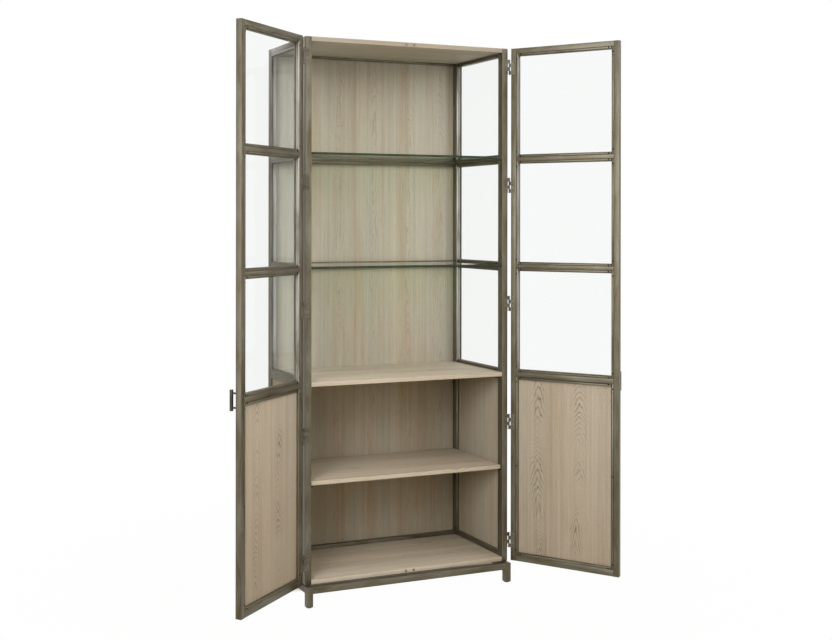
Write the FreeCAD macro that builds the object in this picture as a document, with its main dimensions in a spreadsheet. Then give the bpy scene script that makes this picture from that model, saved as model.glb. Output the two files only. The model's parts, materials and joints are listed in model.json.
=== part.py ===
import FreeCAD, Part
import math
import os
import Sketcher
from FreeCAD import Placement, Rotation, Vector

# A tall steel framed bookcase with glazed doors. Millimetres, +Z up, the front faces -Y.
# The origin is on the floor under the middle of the front left glide.
# Both doors are modelled closed, in a frame of their own that starts on the hinge axis,
# and each door node is then turned open about that axis by its placement.

doc = FreeCAD.newDocument("Bookcase")

# Driving dimensions

sizes = {
    # carcass
    "cabinetHeight": 2134,
    "carcassWidth": 878,
    "carcassDepth": 396,
    "postSize": 25,
    "tubeWall": 1.5,
    "tubeRounding": 1.5,
    # rails: a level is the height of the rail's middle above the floor
    "topRailHeight": 21,
    "upperRailLevel": 1691,
    "lowerRailLevel": 1261,
    "glassRailHeight": 17,
    "shelfRailLevel": 829.5,
    "shelfRailHeight": 20,
    "bottomRailTop": 107.5,
    "rearRailHeight": 25,
    "rearBottomRailHeight": 30,
    # wooden panels and shelves
    "panelThickness": 17,
    "panelEase": 0.5,
    "looseShelfThickness": 16,
    "looseShelfLevel": 449,
    "looseShelfSetback": 8,
    "looseShelfEndGap": 2,
    "backPanelThickness": 6,
    "backPanelInset": 3,
    "infillThickness": 9,
    # glass
    "paneThickness": 4,
    "paneClearance": 5.5,
    "glassShelfThickness": 8,
    "glassShelfLift": 2,
    "glassShelfGap": 1,
    "ledgeWidth": 10,
    "ledgeThickness": 3,
    # glazing beads and outer stops
    "beadWidth": 9.5,
    "beadGap": 0.5,
    "stopWidth": 10,
    "stopThickness": 5,
    # doors
    "doorThickness": 23,
    "doorBottomGap": 2,
    "doorMeetingGap": 4,
    "stileWidth": 21,
    "leftDoorOpening": 141,
    "rightDoorOpening": 126,
    # hinges
    "topHingeDrop": 74,
    "lowestHingeRise": 60,
    "hingeSpacing": 474,
    "hingeLength": 60,
    "hingeAxisOffset": 6.5,
    "hingeGap": 3,
    "leafThickness": 1.4,
    "leafReach": 16,
    "leafEdgeGap": 3.5,
    "knuckleRadius": 3,
    "knuckleGap": 0.3,
    "pinRadius": 1.5,
    "pinClearance": 0.05,
    "pinHeadRadius": 2.6,
    "pinHeadHeight": 1.2,
    # handles
    "handleLevel": 827,
    "gripHeight": 74,
    "gripWidth": 10,
    "gripThickness": 10,
    "gripRounding": 1,
    "gripEdgeRounding": 0.8,
    "handleReach": 28,
    "standoffRadius": 3.5,
    "standoffSpacing": 50,
    "studRadius": 2.5,
    "studLength": 9,
    # magnetic catches
    "magnetRadius": 4.5,
    "magnetLength": 11,
    "magnetSpacing": 34,
    "magnetGap": 0.3,
    # base frame
    "baseTop": 77,
    "baseFrontOverhang": 24,
    "baseSideOverhang": 2,
    "spacerThickness": 3.5,
    "spacerWidth": 21,
    "spacerEndGap": 2,
    "glideHeight": 3,
    "glideRadius": 11.5,
    "glideRounding": 2,
    "glideStemRadius": 4,
    "glideStemLength": 24,
    "plugLength": 15,
    "plugFit": 0.1,
    # shelf pegs
    "pegRadius": 3,
    "pegLength": 22,
    "pegProtrusion": 10,
    # screws and bolts
    "screwFit": 0.05,
    "beadScrewRadius": 1.5,
    "beadScrewHeadRadius": 2.4,
    "beadScrewHeadHeight": 1.3,
    "beadScrewInset": 3.3,
    "beadScrewEnd": 20,
    "beadScrewPoint": 1.5,
    "hingeScrewRadius": 1.9,
    "hingeScrewHeadRadius": 3.1,
    "hingeScrewHeadHeight": 1.2,
    "hingeScrewLength": 8,
    "hingeScrewPitch": 20,
    "backScrewRadius": 1.75,
    "backScrewHeadRadius": 3.5,
    "backScrewCrownRadius": 2.5,
    "backScrewHeadHeight": 1.8,
    "backScrewLength": 14,
    "backScrewSpacing": 260,
    "panelScrewRadius": 2.25,
    "panelScrewHeadRadius": 4.2,
    "panelScrewHeadHeight": 2,
    "panelScrewLength": 60,
    "panelScrewSetback": 70,
    "boltRadius": 4,
    "boltHeadAcross": 13,
    "boltHeadHeight": 5.3,
    "boltLength": 36,
    "boltSetback": 40,
}

sheet = doc.addObject("Spreadsheet::Sheet", "Sizes")
for row, (alias, number) in enumerate(sizes.items(), start=1):
    sheet.set(f"A{row}", alias)
    sheet.set(f"B{row}", str(number))
    sheet.setAlias(f"B{row}", alias)
doc.recompute()


# A measure is an amount together with the sheet formula that gives it.
class Measure:
    def __init__(self, amount, formula):
        self.amount = float(amount)
        self.formula = formula

    def __add__(self, other):
        other = measured(other)
        return Measure(self.amount + other.amount, f"({self.formula} + {other.formula})")

    def __sub__(self, other):
        other = measured(other)
        return Measure(self.amount - other.amount, f"({self.formula} - {other.formula})")

    def __mul__(self, other):
        other = measured(other)
        return Measure(self.amount * other.amount, f"({self.formula} * {other.formula})")

    def __truediv__(self, other):
        other = measured(other)
        return Measure(self.amount / other.amount, f"({self.formula} / {other.formula})")

    def __neg__(self):
        return Measure(-self.amount, f"(0 - {self.formula})")


def measured(thing):
    if isinstance(thing, Measure):
        return thing
    return Measure(thing, f"({thing})")


def size(alias):
    return Measure(getattr(sheet, alias), f"Sizes.{alias}")


def bind(thing, name, measure):
    thing.setExpression(name, measured(measure).formula)


def moveTo(thing, place):
    for axis, measure in zip("xyz", place):
        bind(thing, f"Placement.Base.{axis}", measure)


def spot(place):
    return Vector(*[measured(measure).amount for measure in place])


def middle(low, high):
    return (low + high) / 2


# Shared planes and levels

zero = measured(0)
post = size("postSize")
cabinetTop = size("cabinetHeight")
carcassBottom = size("baseTop") + size("spacerThickness")
doorBottom = carcassBottom + size("doorBottomGap")

# the middle and the front of the cabinet, seen from the origin under the front left glide
middleX = size("carcassWidth") / 2 + size("baseSideOverhang") - post / 2
carcassFront = size("baseFrontOverhang") - post / 2
carcassRear = carcassFront + size("carcassDepth")
carcassLeft = middleX - size("carcassWidth") / 2
carcassRight = middleX + size("carcassWidth") / 2
innerLeft = carcassLeft + post
innerRight = carcassRight - post
frontPostRear = carcassFront + post
rearPostFront = carcassRear - post

bottomPanelTop = carcassBottom + size("panelThickness")
fixedShelfBottom = size("shelfRailLevel") - size("panelThickness") / 2
fixedShelfTop = size("shelfRailLevel") + size("panelThickness") / 2
topPanelBottom = cabinetTop - size("panelThickness")


# the rails of a glazed frame, each as its bottom and its top
def railLevels(frameBottom):
    levels = [(frameBottom, size("bottomRailTop"))]
    for level, height in [
        ("shelfRailLevel", "shelfRailHeight"),
        ("lowerRailLevel", "glassRailHeight"),
        ("upperRailLevel", "glassRailHeight"),
    ]:
        levels.append((size(level) - size(height) / 2, size(level) + size(height) / 2))
    levels.append((cabinetTop - size("topRailHeight"), cabinetTop))
    return levels


# the openings between the rails, from the wooden infill at the bottom to the top pane
def openingLevels():
    rails = railLevels(carcassBottom)
    return [(below[1], above[0]) for below, above in zip(rails, rails[1:])]


# the middles of the hinges, evenly spaced from the top as far down as the door has room
def hingeLevels():
    top = cabinetTop - size("topHingeDrop")
    lowest = doorBottom + size("lowestHingeRise")
    steps = math.floor(((top - lowest) / size("hingeSpacing")).amount)
    return [top - size("hingeSpacing") * number for number in range(steps + 1)]


# Building blocks

nodes = []


def node(label, members):
    gathered = doc.addObject("Part::Compound", f"{label}_node")
    gathered.Links = members
    gathered.Label = label
    if gathered.Label != label:
        raise RuntimeError(f"the name {label} is already taken")
    nodes.append(gathered)
    return gathered


def group(name, members):
    gathered = doc.addObject("Part::Compound", name)
    gathered.Links = members
    return gathered


def cut(name, base, tool):
    result = doc.addObject("Part::Cut", name)
    result.Base = base
    result.Tool = tool
    return result


def bar(name, low, high):
    box = doc.addObject("Part::Box", name)
    bind(box, "Length", high[0] - low[0])
    bind(box, "Width", high[1] - low[1])
    bind(box, "Height", high[2] - low[2])
    moveTo(box, low)
    return box


def rod(name, radius, length, place, direction):
    cylinder = doc.addObject("Part::Cylinder", name)
    bind(cylinder, "Radius", radius)
    bind(cylinder, "Height", length)
    cylinder.Placement = Placement(Vector(), Rotation(Vector(0, 0, 1), direction))
    moveTo(cylinder, place)
    return cylinder


def sketchOn(body, role, name, offset=zero):
    sketch = body.newObject("Sketcher::SketchObject", name)
    plane = [feature for feature in body.Origin.OriginFeatures if feature.Role == role][0]
    sketch.AttachmentSupport = [(plane, "")]
    sketch.MapMode = "FlatFace"
    bind(sketch, "AttachmentOffset.Base.z", offset)
    return sketch


def holdAt(sketch, kind, first, second, distance):
    constraint = Sketcher.Constraint(kind, *first, *second, distance.amount)
    number = sketch.addConstraint(constraint)
    bind(sketch, f"Constraints[{number}]", distance)


# a rectangle about the sketch's origin, with rounded corners where a rounding is given
def addRectangle(sketch, width, height, rounding=zero):
    right = width.amount / 2
    top = height.amount / 2
    radius = rounding.amount
    corners = [(right, top), (-right, top), (-right, -top), (right, -top)]
    lines = []
    arcs = []
    for i, (x, y) in enumerate(corners):
        beforeX, beforeY = corners[i - 1]
        along = Vector(x - beforeX, y - beforeY, 0).normalize() * radius
        start = Vector(beforeX, beforeY, 0) + along
        end = Vector(x, y, 0) - along
        lines.append(sketch.addGeometry(Part.LineSegment(start, end)))
    for i in range(4):
        kind = "Vertical" if i % 2 == 0 else "Horizontal"
        sketch.addConstraint(Sketcher.Constraint(kind, lines[i]))
    if radius:
        for i, (x, y) in enumerate(corners):
            centre = Vector(x - math.copysign(radius, x), y - math.copysign(radius, y), 0)
            circle = Part.Circle(centre, Vector(0, 0, 1), radius)
            quarter = math.pi / 2
            arcs.append(sketch.addGeometry(Part.ArcOfCircle(circle, i * quarter, (i + 1) * quarter)))
        for i in range(4):
            sketch.addConstraint(Sketcher.Constraint("Tangent", lines[i], 2, arcs[i], 1))
            sketch.addConstraint(Sketcher.Constraint("Tangent", arcs[i], 2, lines[(i + 1) % 4], 1))
        for arc in arcs[1:]:
            sketch.addConstraint(Sketcher.Constraint("Equal", arcs[0], arc))
        number = sketch.addConstraint(Sketcher.Constraint("Radius", arcs[0], radius))
        bind(sketch, f"Constraints[{number}]", rounding)
    else:
        for i in range(4):
            sketch.addConstraint(Sketcher.Constraint("Coincident", lines[i], 2, lines[(i + 1) % 4], 1))
    origin = (-1, 1)
    holdAt(sketch, "DistanceX", origin, (lines[0], 1), width / 2)
    holdAt(sketch, "DistanceX", (lines[2], 1), origin, width / 2)
    holdAt(sketch, "DistanceY", origin, (lines[1], 1), height / 2)
    holdAt(sketch, "DistanceY", (lines[3], 1), origin, height / 2)


def addCircle(sketch, radius, x, y):
    centre = Vector(x.amount, y.amount, 0)
    circle = sketch.addGeometry(Part.Circle(centre, Vector(0, 0, 1), radius.amount))
    number = sketch.addConstraint(Sketcher.Constraint("Radius", circle, radius.amount))
    bind(sketch, f"Constraints[{number}]", radius)
    origin = (-1, 1)
    for kind, distance in (("DistanceX", x), ("DistanceY", y)):
        if distance.amount < 0:
            holdAt(sketch, kind, (circle, 3), origin, -distance)
        else:
            holdAt(sketch, kind, origin, (circle, 3), distance)


def pad(body, sketch, name, length, reversed=False):
    feature = body.newObject("PartDesign::Pad", name)
    feature.Profile = sketch
    bind(feature, "Length", length)
    feature.Reversed = reversed
    return feature


# A square tube between two corners, along one axis, open or capped at either end.
# The plane across each axis, and whether its normal points back along the axis.
acrossPlanes = {"x": ("YZ_Plane", False), "y": ("XZ_Plane", True), "z": ("XY_Plane", False)}


def tube(name, axis, low, high, capStart=False, capEnd=False):
    along = "xyz".index(axis)
    first, second = [i for i in range(3) if i != along]
    width = high[first] - low[first]
    height = high[second] - low[second]
    length = high[along] - low[along]
    wall = size("tubeWall")
    startCap = wall if capStart else zero
    endCap = wall if capEnd else zero
    role, backward = acrossPlanes[axis]

    body = doc.addObject("PartDesign::Body", name)
    outline = sketchOn(body, role, f"{name}_outline")
    addRectangle(outline, width, height, size("tubeRounding"))
    pad(body, outline, f"{name}_bar", length, backward)
    bore = sketchOn(body, role, f"{name}_bore", -startCap if backward else startCap)
    addRectangle(bore, width - wall * 2, height - wall * 2)
    hollow = body.newObject("PartDesign::Pocket", f"{name}_hollow")
    hollow.Profile = bore
    hollow.Reversed = not backward
    bind(hollow, "Length", length - startCap - endCap)
    doc.recompute()

    corners = (4 - math.pi) * size("tubeRounding").amount ** 2
    steel = (width.amount * height.amount - corners) * length.amount
    air = (width - wall * 2).amount * (height - wall * 2).amount * hollow.Length.Value
    if abs(body.Shape.Volume - (steel - air)) > 1:
        raise RuntimeError(f"{name} is not hollowed as meant")

    place = [middle(low[i], high[i]) for i in range(3)]
    place[along] = low[along]
    moveTo(body, place)
    return body


# a flat board between two corners with every edge eased
def board(name, low, high, ease):
    body = doc.addObject("PartDesign::Body", name)
    outline = sketchOn(body, "XY_Plane", f"{name}_outline")
    addRectangle(outline, high[0] - low[0], high[1] - low[1])
    slab = pad(body, outline, f"{name}_slab", high[2] - low[2])
    doc.recompute()
    edging = body.newObject("PartDesign::Chamfer", f"{name}_edging")
    edging.Base = (slab, [f"Edge{i + 1}" for i in range(len(slab.Shape.Edges))])
    bind(edging, "Size", ease)
    moveTo(body, (middle(low[0], high[0]), middle(low[1], high[1]), low[2]))
    return body


# Screws

# Each screw is a turned piece that points down. Zero is the top of a sunk head, or the seat
# of a domed one.
class Screw:
    def __init__(self, kind, length, sunk):
        self.radius = size(f"{kind}Radius")
        self.headRadius = size(f"{kind}HeadRadius")
        self.headHeight = size(f"{kind}HeadHeight")
        self.length = length
        self.sunk = sunk
        self.crownRadius = None if sunk else size(f"{kind}CrownRadius")

    # half of its outline, from the axis at the top to the axis at the tip
    def outline(self):
        if self.sunk:
            head = [(zero, zero), (self.headRadius, zero), (self.radius, -self.headHeight)]
        else:
            crown = [(zero, self.headHeight), (self.crownRadius, self.headHeight)]
            head = crown + [(self.headRadius, zero), (self.radius, zero)]
        return head + [(self.radius, -self.length), (zero, -self.length)]

    def body(self, name):
        points = self.outline()
        body = doc.addObject("PartDesign::Body", name)
        sketch = sketchOn(body, "XZ_Plane", f"{name}_profile")
        for (x, y), (nextX, nextY) in zip(points, points[1:] + points[:1]):
            start = Vector(x.amount, y.amount, 0)
            sketch.addGeometry(Part.LineSegment(start, Vector(nextX.amount, nextY.amount, 0)))
        origin = (-1, 1)
        for i, (x, y) in enumerate(points):
            following = (i + 1) % len(points)
            sketch.addConstraint(Sketcher.Constraint("Coincident", i, 2, following, 1))
            for kind, distance in (("DistanceX", x), ("DistanceY", y)):
                if distance.amount < 0:
                    holdAt(sketch, kind, (i, 1), origin, -distance)
                else:
                    holdAt(sketch, kind, origin, (i, 1), distance)
        turned = body.newObject("PartDesign::Revolution", f"{name}_turned")
        turned.Profile = sketch
        turned.ReferenceAxis = (sketch, ["V_Axis"])
        turned.Angle = 360
        doc.recompute()
        return body

    # the hole the screw sits in, a little wider and deeper than the screw
    def hole(self):
        fit = size("screwFit").amount
        depth = self.length.amount + fit
        radius = self.radius.amount + fit
        tool = Part.makeCylinder(radius, depth, Vector(0, 0, -depth))
        if self.sunk:
            headHeight = self.headHeight.amount
            foot = Vector(0, 0, -headHeight)
            seat = Part.makeCone(radius, self.headRadius.amount + fit, headHeight, foot)
            tool = tool.fuse(seat)
        return tool


# Copies of one shape, each at a place and pointing along a direction.
def copies(name, shape, places, pointing=Vector(0, 0, -1)):
    placed = []
    for place, direction in places:
        copy = shape.copy()
        copy.Placement = Placement(spot(place), Rotation(pointing, direction))
        placed.append(copy)
    feature = doc.addObject("Part::Feature", name)
    feature.Shape = Part.makeCompound(placed)
    return feature


def levelCopies(name, shape, places):
    up = Vector(0, 0, 1)
    return copies(name, shape, [(place, up) for place in places], up)


# Glazed frames

# A frame lies in a plane of its own: u runs across it, z up, and depth goes from its inner
# face to its outer face. It may stand anywhere, so each frame says where its points lie.
class Frame:
    def __init__(self, name, low, high, thickness, place, outward):
        self.name = name
        self.low = low
        self.high = high
        self.thickness = thickness
        self.place = place
        self.outward = outward

    def bar(self, name, u, depth, z):
        first = self.place(u[0], depth[0], z[0])
        last = self.place(u[1], depth[1], z[1])
        low = [a if a.amount < b.amount else b for a, b in zip(first, last)]
        high = [b if a.amount < b.amount else a for a, b in zip(first, last)]
        return bar(name, low, high)


def outerStop(frame, number, opening):
    depth = (frame.thickness - size("stopThickness"), frame.thickness)
    width = size("stopWidth")
    u = (frame.low, frame.high)
    name = f"{frame.name}_stop_{number}"
    blank = frame.bar(f"{name}_blank", u, depth, opening)
    light = frame.bar(
        f"{name}_light",
        (frame.low + width, frame.high - width),
        depth,
        (opening[0] + width, opening[1] - width),
    )
    return cut(name, blank, light)


def beads(frame, number, opening, depth):
    gap = size("beadGap")
    width = size("beadWidth")
    bottom = opening[0] + gap
    top = opening[1] - gap
    lowEdge = frame.low + gap
    highEdge = frame.high - gap
    reach = (zero, depth)
    between = (lowEdge + width + gap, highEdge - width - gap)
    name = f"{frame.name}_bead_{number}"
    return [
        frame.bar(f"{name}_near", (lowEdge, lowEdge + width), reach, (bottom, top)),
        frame.bar(f"{name}_far", (highEdge - width, highEdge), reach, (bottom, top)),
        frame.bar(f"{name}_low", between, reach, (bottom, bottom + width)),
        frame.bar(f"{name}_high", between, reach, (top - width, top)),
    ]


def beadScrewPlaces(frame, opening, extraMiddle):
    inset = size("beadScrewInset")
    end = size("beadScrewEnd")
    levels = [opening[0] + end, opening[1] - end]
    if extraMiddle:
        levels.append(middle(*opening))
    places = []
    for u in (frame.low + inset, frame.high - inset):
        places += [(u, z) for z in levels]
    for z in (opening[0] + inset, opening[1] - inset):
        places += [(u, z) for u in (frame.low + end, frame.high - end)]
    return [(frame.place(u, zero, z), frame.outward) for u, z in places]


# stops, beads, screws, panes and infill of one frame, with the infill in the lowest opening
def glaze(frame):
    clearance = size("paneClearance")
    seat = frame.thickness - size("stopThickness")
    stops = []
    beading = []
    screwPlaces = []
    sheets = []
    for number, opening in enumerate(openingLevels()):
        wooden = number == 0
        filling = size("infillThickness") if wooden else size("paneThickness")
        stops.append(outerStop(frame, number, opening))
        beading += beads(frame, number, opening, seat - filling)
        screwPlaces += beadScrewPlaces(frame, opening, wooden)
        sheets.append(
            frame.bar(
                f"{frame.name}_sheet_{number}",
                (frame.low + clearance, frame.high - clearance),
                (seat - filling, seat),
                (opening[0] + clearance, opening[1] - clearance),
            )
        )
    screw = Screw("beadScrew", frame.thickness - size("beadScrewPoint"), True)
    holes = copies(f"{frame.name}_screw_holes", screw.hole(), screwPlaces)
    name = frame.name
    return {
        "stops": cut(f"{name}_drilled_stops", group(f"{name}_stop_rings", stops), holes),
        "beads": cut(f"{name}_drilled_beads", group(f"{name}_bead_bars", beading), holes),
        "screws": copies(f"{name}_bead_screw_set", screw.body(f"{name}_bead_screw").Shape, screwPlaces),
        "infill": sheets[0],
        "panes": sheets[1:],
    }


# Hinges

knuckleCount = 4
knucklePitch = size("hingeLength") / knuckleCount
leafEnd = size("hingeAxisOffset") + size("leafReach")
leafInnerEdge = size("knuckleRadius") + size("leafEdgeGap")
leafHalfGap = size("hingeGap") / 2 - size("leafThickness")
hingeScrew = Screw("hingeScrew", size("hingeScrewLength"), True)
hingeScrewShape = hingeScrew.body("hinge_screw").Shape
hingeScrewHole = hingeScrew.hole()


def span(toward, start, end):
    return (start, end) if toward > 0 else (-end, -start)


# One leaf of a closed hinge standing on the origin, its plate towards +X or -X, and on the
# +Y side for the fixed leaf or the -Y side for the leaf on the door. It holds every second
# knuckle, counted from the bottom.
def hingeLeaf(name, toward, sideY, firstKnuckle):
    low, high = span(sideY, leafHalfGap, size("hingeGap") / 2)
    plateX = span(toward, leafInnerEdge, leafEnd)
    bridgeX = span(toward, zero, leafInnerEdge)
    pieces = [bar(f"{name}_plate", (plateX[0], low, zero), (plateX[1], high, size("hingeLength")))]
    halfGap = size("knuckleGap") / 2
    up = Vector(0, 0, 1)
    for number in range(firstKnuckle, knuckleCount, 2):
        bottom = knucklePitch * number + halfGap
        top = knucklePitch * (number + 1) - halfGap
        barrel = rod(
            f"{name}_barrel_{number}", size("knuckleRadius"), top - bottom, (zero, zero, bottom), up
        )
        bridge = bar(f"{name}_bridge_{number}", (bridgeX[0], low, bottom), (bridgeX[1], high, top))
        pieces += [barrel, bridge]
    rolled = doc.addObject("Part::MultiFuse", f"{name}_rolled")
    rolled.Shapes = pieces
    boreRadius = size("pinRadius") + size("pinClearance")
    bore = rod(f"{name}_bore", boreRadius, size("hingeLength"), (zero, zero, zero), up)
    bored = cut(f"{name}_bored", rolled, bore)
    holes = copies(f"{name}_holes", hingeScrewHole, hingeScrewPlaces(toward, sideY, [zero]))
    drilled = cut(name, bored, holes)
    doc.recompute()
    return drilled.Shape


# the screws of hinges whose bottoms are at the given levels, seen from the hinge axis
def hingeScrewPlaces(toward, sideY, bottoms):
    along = (size("hingeAxisOffset") + size("leafReach") / 2) * toward
    face = leafHalfGap * sideY
    places = []
    for bottom in bottoms:
        for step in (-1, 0, 1):
            z = bottom + size("hingeLength") / 2 + size("hingeScrewPitch") * step
            places.append(((along, face, z), Vector(0, sideY, 0)))
    return places


hingeBottoms = [level - size("hingeLength") / 2 for level in hingeLevels()]
hingeAxisY = carcassFront - size("hingeGap") / 2
hingeAxes = {
    "left": (carcassLeft - size("hingeAxisOffset"), 1),
    "right": (carcassRight + size("hingeAxisOffset"), -1),
}


def fromAxis(side, places):
    axisX = hingeAxes[side][0]
    return [((place[0] + axisX, place[1] + hingeAxisY, place[2]), way) for place, way in places]


# Cabinet: posts

def fixedHingeScrewPlaces(side):
    toward = hingeAxes[side][1]
    return fromAxis(side, hingeScrewPlaces(toward, 1, hingeBottoms))


looseShelfBottom = size("looseShelfLevel")
pegLevel = looseShelfBottom - size("pegRadius")
pegInside = size("pegLength") - size("pegProtrusion")
postMiddles = {"front": middle(carcassFront, frontPostRear), "rear": middle(rearPostFront, carcassRear)}


# the pegs that carry the loose shelf stick out of the posts towards the middle
def peg(name, side, depth, fit):
    toward = hingeAxes[side][1]
    face = innerLeft if side == "left" else innerRight
    start = face - pegInside * toward
    radius = size("pegRadius") + fit
    return rod(name, radius, size("pegLength"), (start, postMiddles[depth], pegLevel), Vector(toward, 0, 0))


backPanelRear = carcassRear + size("backPanelThickness")
backScrew = Screw("backScrew", size("backScrewLength"), False)
rearRails = [
    (carcassBottom, carcassBottom + size("rearBottomRailHeight")),
    (
        size("lowerRailLevel") - size("rearRailHeight") / 2,
        size("lowerRailLevel") + size("rearRailHeight") / 2,
    ),
    (
        size("upperRailLevel") - size("rearRailHeight") / 2,
        size("upperRailLevel") + size("rearRailHeight") / 2,
    ),
    (cabinetTop - size("rearRailHeight"), cabinetTop),
]


def backScrewPlaces():
    forward = Vector(0, -1, 0)
    places = []
    for x in (middle(carcassLeft, innerLeft), middle(innerRight, carcassRight)):
        places += [((x, backPanelRear, level), forward) for level in hingeLevels()]
    for rail in rearRails:
        for step in (-1, 0, 1):
            x = middleX + size("backScrewSpacing") * step
            places.append(((x, backPanelRear, middle(*rail)), forward))
    return places


backScrewHoles = copies("back_screw_holes", backScrew.hole(), backScrewPlaces())

postsX = {"left": (carcassLeft, innerLeft), "right": (innerRight, carcassRight)}
for side in ("left", "right"):
    x = postsX[side]
    fixedHoles = copies(f"{side}_post_screw_holes", hingeScrewHole, fixedHingeScrewPlaces(side))
    for depth, y in (("front", (carcassFront, frontPostRear)), ("rear", (rearPostFront, carcassRear))):
        label = f"{depth}_post_{side}"
        low = (x[0], y[0], carcassBottom)
        high = (x[1], y[1], cabinetTop)
        blank = tube(f"{label}_tube", "z", low, high, capEnd=True)
        pegHole = peg(f"{label}_peg_hole", side, depth, size("screwFit"))
        otherHoles = fixedHoles if depth == "front" else backScrewHoles
        node(label, [cut(f"{label}_drilled", blank, group(f"{label}_holes", [pegHole, otherHoles]))])

pegs = []
for side in ("left", "right"):
    pegs += [peg(f"peg_{depth}_{side}", side, depth, zero) for depth in ("front", "rear")]
node("shelf_pegs", pegs)

# Cabinet: screws through the side rails into the ends of the wooden panels, and base bolts

panelScrew = Screw("panelScrew", size("panelScrewLength"), True)
panelScrewLevels = [
    middle(carcassBottom, bottomPanelTop),
    size("shelfRailLevel"),
    middle(topPanelBottom, cabinetTop),
]
panelScrewRows = (frontPostRear + size("panelScrewSetback"), rearPostFront - size("panelScrewSetback"))
panelScrewPlaces = []
for z in panelScrewLevels:
    for y in panelScrewRows:
        panelScrewPlaces.append(((carcassLeft, y, z), Vector(1, 0, 0)))
        panelScrewPlaces.append(((carcassRight, y, z), Vector(-1, 0, 0)))
panelScrewHoles = copies("panel_screw_holes", panelScrew.hole(), panelScrewPlaces)
node("panel_screws", [copies("panel_screw_set", panelScrew.body("panel_screw").Shape, panelScrewPlaces)])

baseRailBottom = size("baseTop") - post
boltPlaces = []
for x in (middle(carcassLeft, innerLeft), middle(innerRight, carcassRight)):
    for y in (frontPostRear + size("boltSetback"), rearPostFront - size("boltSetback")):
        boltPlaces.append((x, y, baseRailBottom))


def boltShape(fit):
    return Part.makeCylinder(size("boltRadius").amount + fit, size("boltLength").amount)


def hexBolt():
    head = doc.addObject("Part::Prism", "bolt_head")
    head.Polygon = 6
    bind(head, "Circumradius", size("boltHeadAcross") / math.sqrt(3))
    bind(head, "Height", size("boltHeadHeight"))
    moveTo(head, (zero, zero, -size("boltHeadHeight")))
    shank = rod("bolt_shank", size("boltRadius"), size("boltLength"), (zero, zero, zero), Vector(0, 0, 1))
    bolt = doc.addObject("Part::MultiFuse", "base_bolt")
    bolt.Shapes = [head, shank]
    doc.recompute()
    return bolt.Shape


boltHoles = levelCopies("bolt_holes", boltShape(size("screwFit").amount), boltPlaces)
node("base_bolts", [levelCopies("bolt_set", hexBolt(), boltPlaces)])

# Cabinet: side rails with their glazing

sideFrames = {
    "left": Frame(
        "left_side",
        frontPostRear,
        rearPostFront,
        post,
        lambda u, depth, z: (innerLeft - depth, u, z),
        Vector(-1, 0, 0),
    ),
    "right": Frame(
        "right_side",
        frontPostRear,
        rearPostFront,
        post,
        lambda u, depth, z: (innerRight + depth, u, z),
        Vector(1, 0, 0),
    ),
}
sideScrews = []
for side, frame in sideFrames.items():
    x = postsX[side]
    rails = []
    for number, (bottom, top) in enumerate(railLevels(carcassBottom)):
        name = f"{side}_side_rail_{number}"
        rails.append(tube(name, "y", (x[0], frontPostRear, bottom), (x[1], rearPostFront, top)))
    drilling = group(f"{side}_rail_holes", [panelScrewHoles, boltHoles])
    node(f"side_rails_{side}", [cut(f"{side}_rails_drilled", group(f"{side}_rails", rails), drilling)])
    glazing = glaze(frame)
    node(f"side_stops_{side}", [glazing["stops"]])
    node(f"side_beads_{side}", [glazing["beads"]])
    node(f"side_panes_{side}", glazing["panes"])
    node(f"side_infill_{side}", [glazing["infill"]])
    sideScrews.append(glazing["screws"])
node("side_bead_screws", sideScrews)

# Cabinet: rear rails and back panel

rearTubes = []
for number, (bottom, top) in enumerate(rearRails):
    name = f"rear_rail_{number}"
    rearTubes.append(tube(name, "x", (innerLeft, rearPostFront, bottom), (innerRight, carcassRear, top)))
node("rear_rails", [cut("rear_rails_drilled", group("rear_rail_tubes", rearTubes), backScrewHoles)])

inset = size("backPanelInset")
backPanel = board(
    "back_panel_board",
    (carcassLeft + inset, carcassRear, carcassBottom + inset),
    (carcassRight - inset, backPanelRear, cabinetTop - inset),
    size("panelEase"),
)
node("back_panel", [cut("back_panel_drilled", backPanel, backScrewHoles)])
node("back_panel_screws", [copies("back_screw_set", backScrew.body("back_screw").Shape, backScrewPlaces())])

# Cabinet: magnetic catches in the front edges of the top and bottom panels

magnetOut = size("hingeGap") - size("magnetGap")
magnetPlaces = []
for z in (middle(carcassBottom, bottomPanelTop), middle(topPanelBottom, cabinetTop)):
    for step in (-1, 1):
        magnetPlaces.append((middleX + size("magnetSpacing") / 2 * step, carcassFront - magnetOut, z))


def magnets(name, fit):
    radius = size("magnetRadius") + fit
    length = size("magnetLength") + fit
    inward = Vector(0, 1, 0)
    return [rod(f"{name}_{i}", radius, length, place, inward) for i, place in enumerate(magnetPlaces)]


node("catch_magnets", magnets("magnet", zero))
panelHoles = group("panel_holes", magnets("magnet_hole", size("screwFit")) + [panelScrewHoles])

# Cabinet: wooden panels and shelves

panelLimits = {
    "bottom_panel": (rearPostFront, carcassBottom, bottomPanelTop),
    "fixed_shelf": (carcassRear, fixedShelfBottom, fixedShelfTop),
    "top_panel": (rearPostFront, topPanelBottom, cabinetTop),
}
for label, (rear, bottom, top) in panelLimits.items():
    slab = board(
        f"{label}_board", (innerLeft, carcassFront, bottom), (innerRight, rear, top), size("panelEase")
    )
    node(label, [cut(f"{label}_drilled", slab, panelHoles)])

endGap = size("looseShelfEndGap")
setback = size("looseShelfSetback")
looseShelf = board(
    "loose_shelf_board",
    (innerLeft + endGap, carcassFront + setback, looseShelfBottom),
    (innerRight - endGap, carcassRear - setback, looseShelfBottom + size("looseShelfThickness")),
    size("panelEase"),
)
node("loose_shelf", [looseShelf])

# Cabinet: glass shelves on flat ledges welded to the side and rear rails

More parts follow.
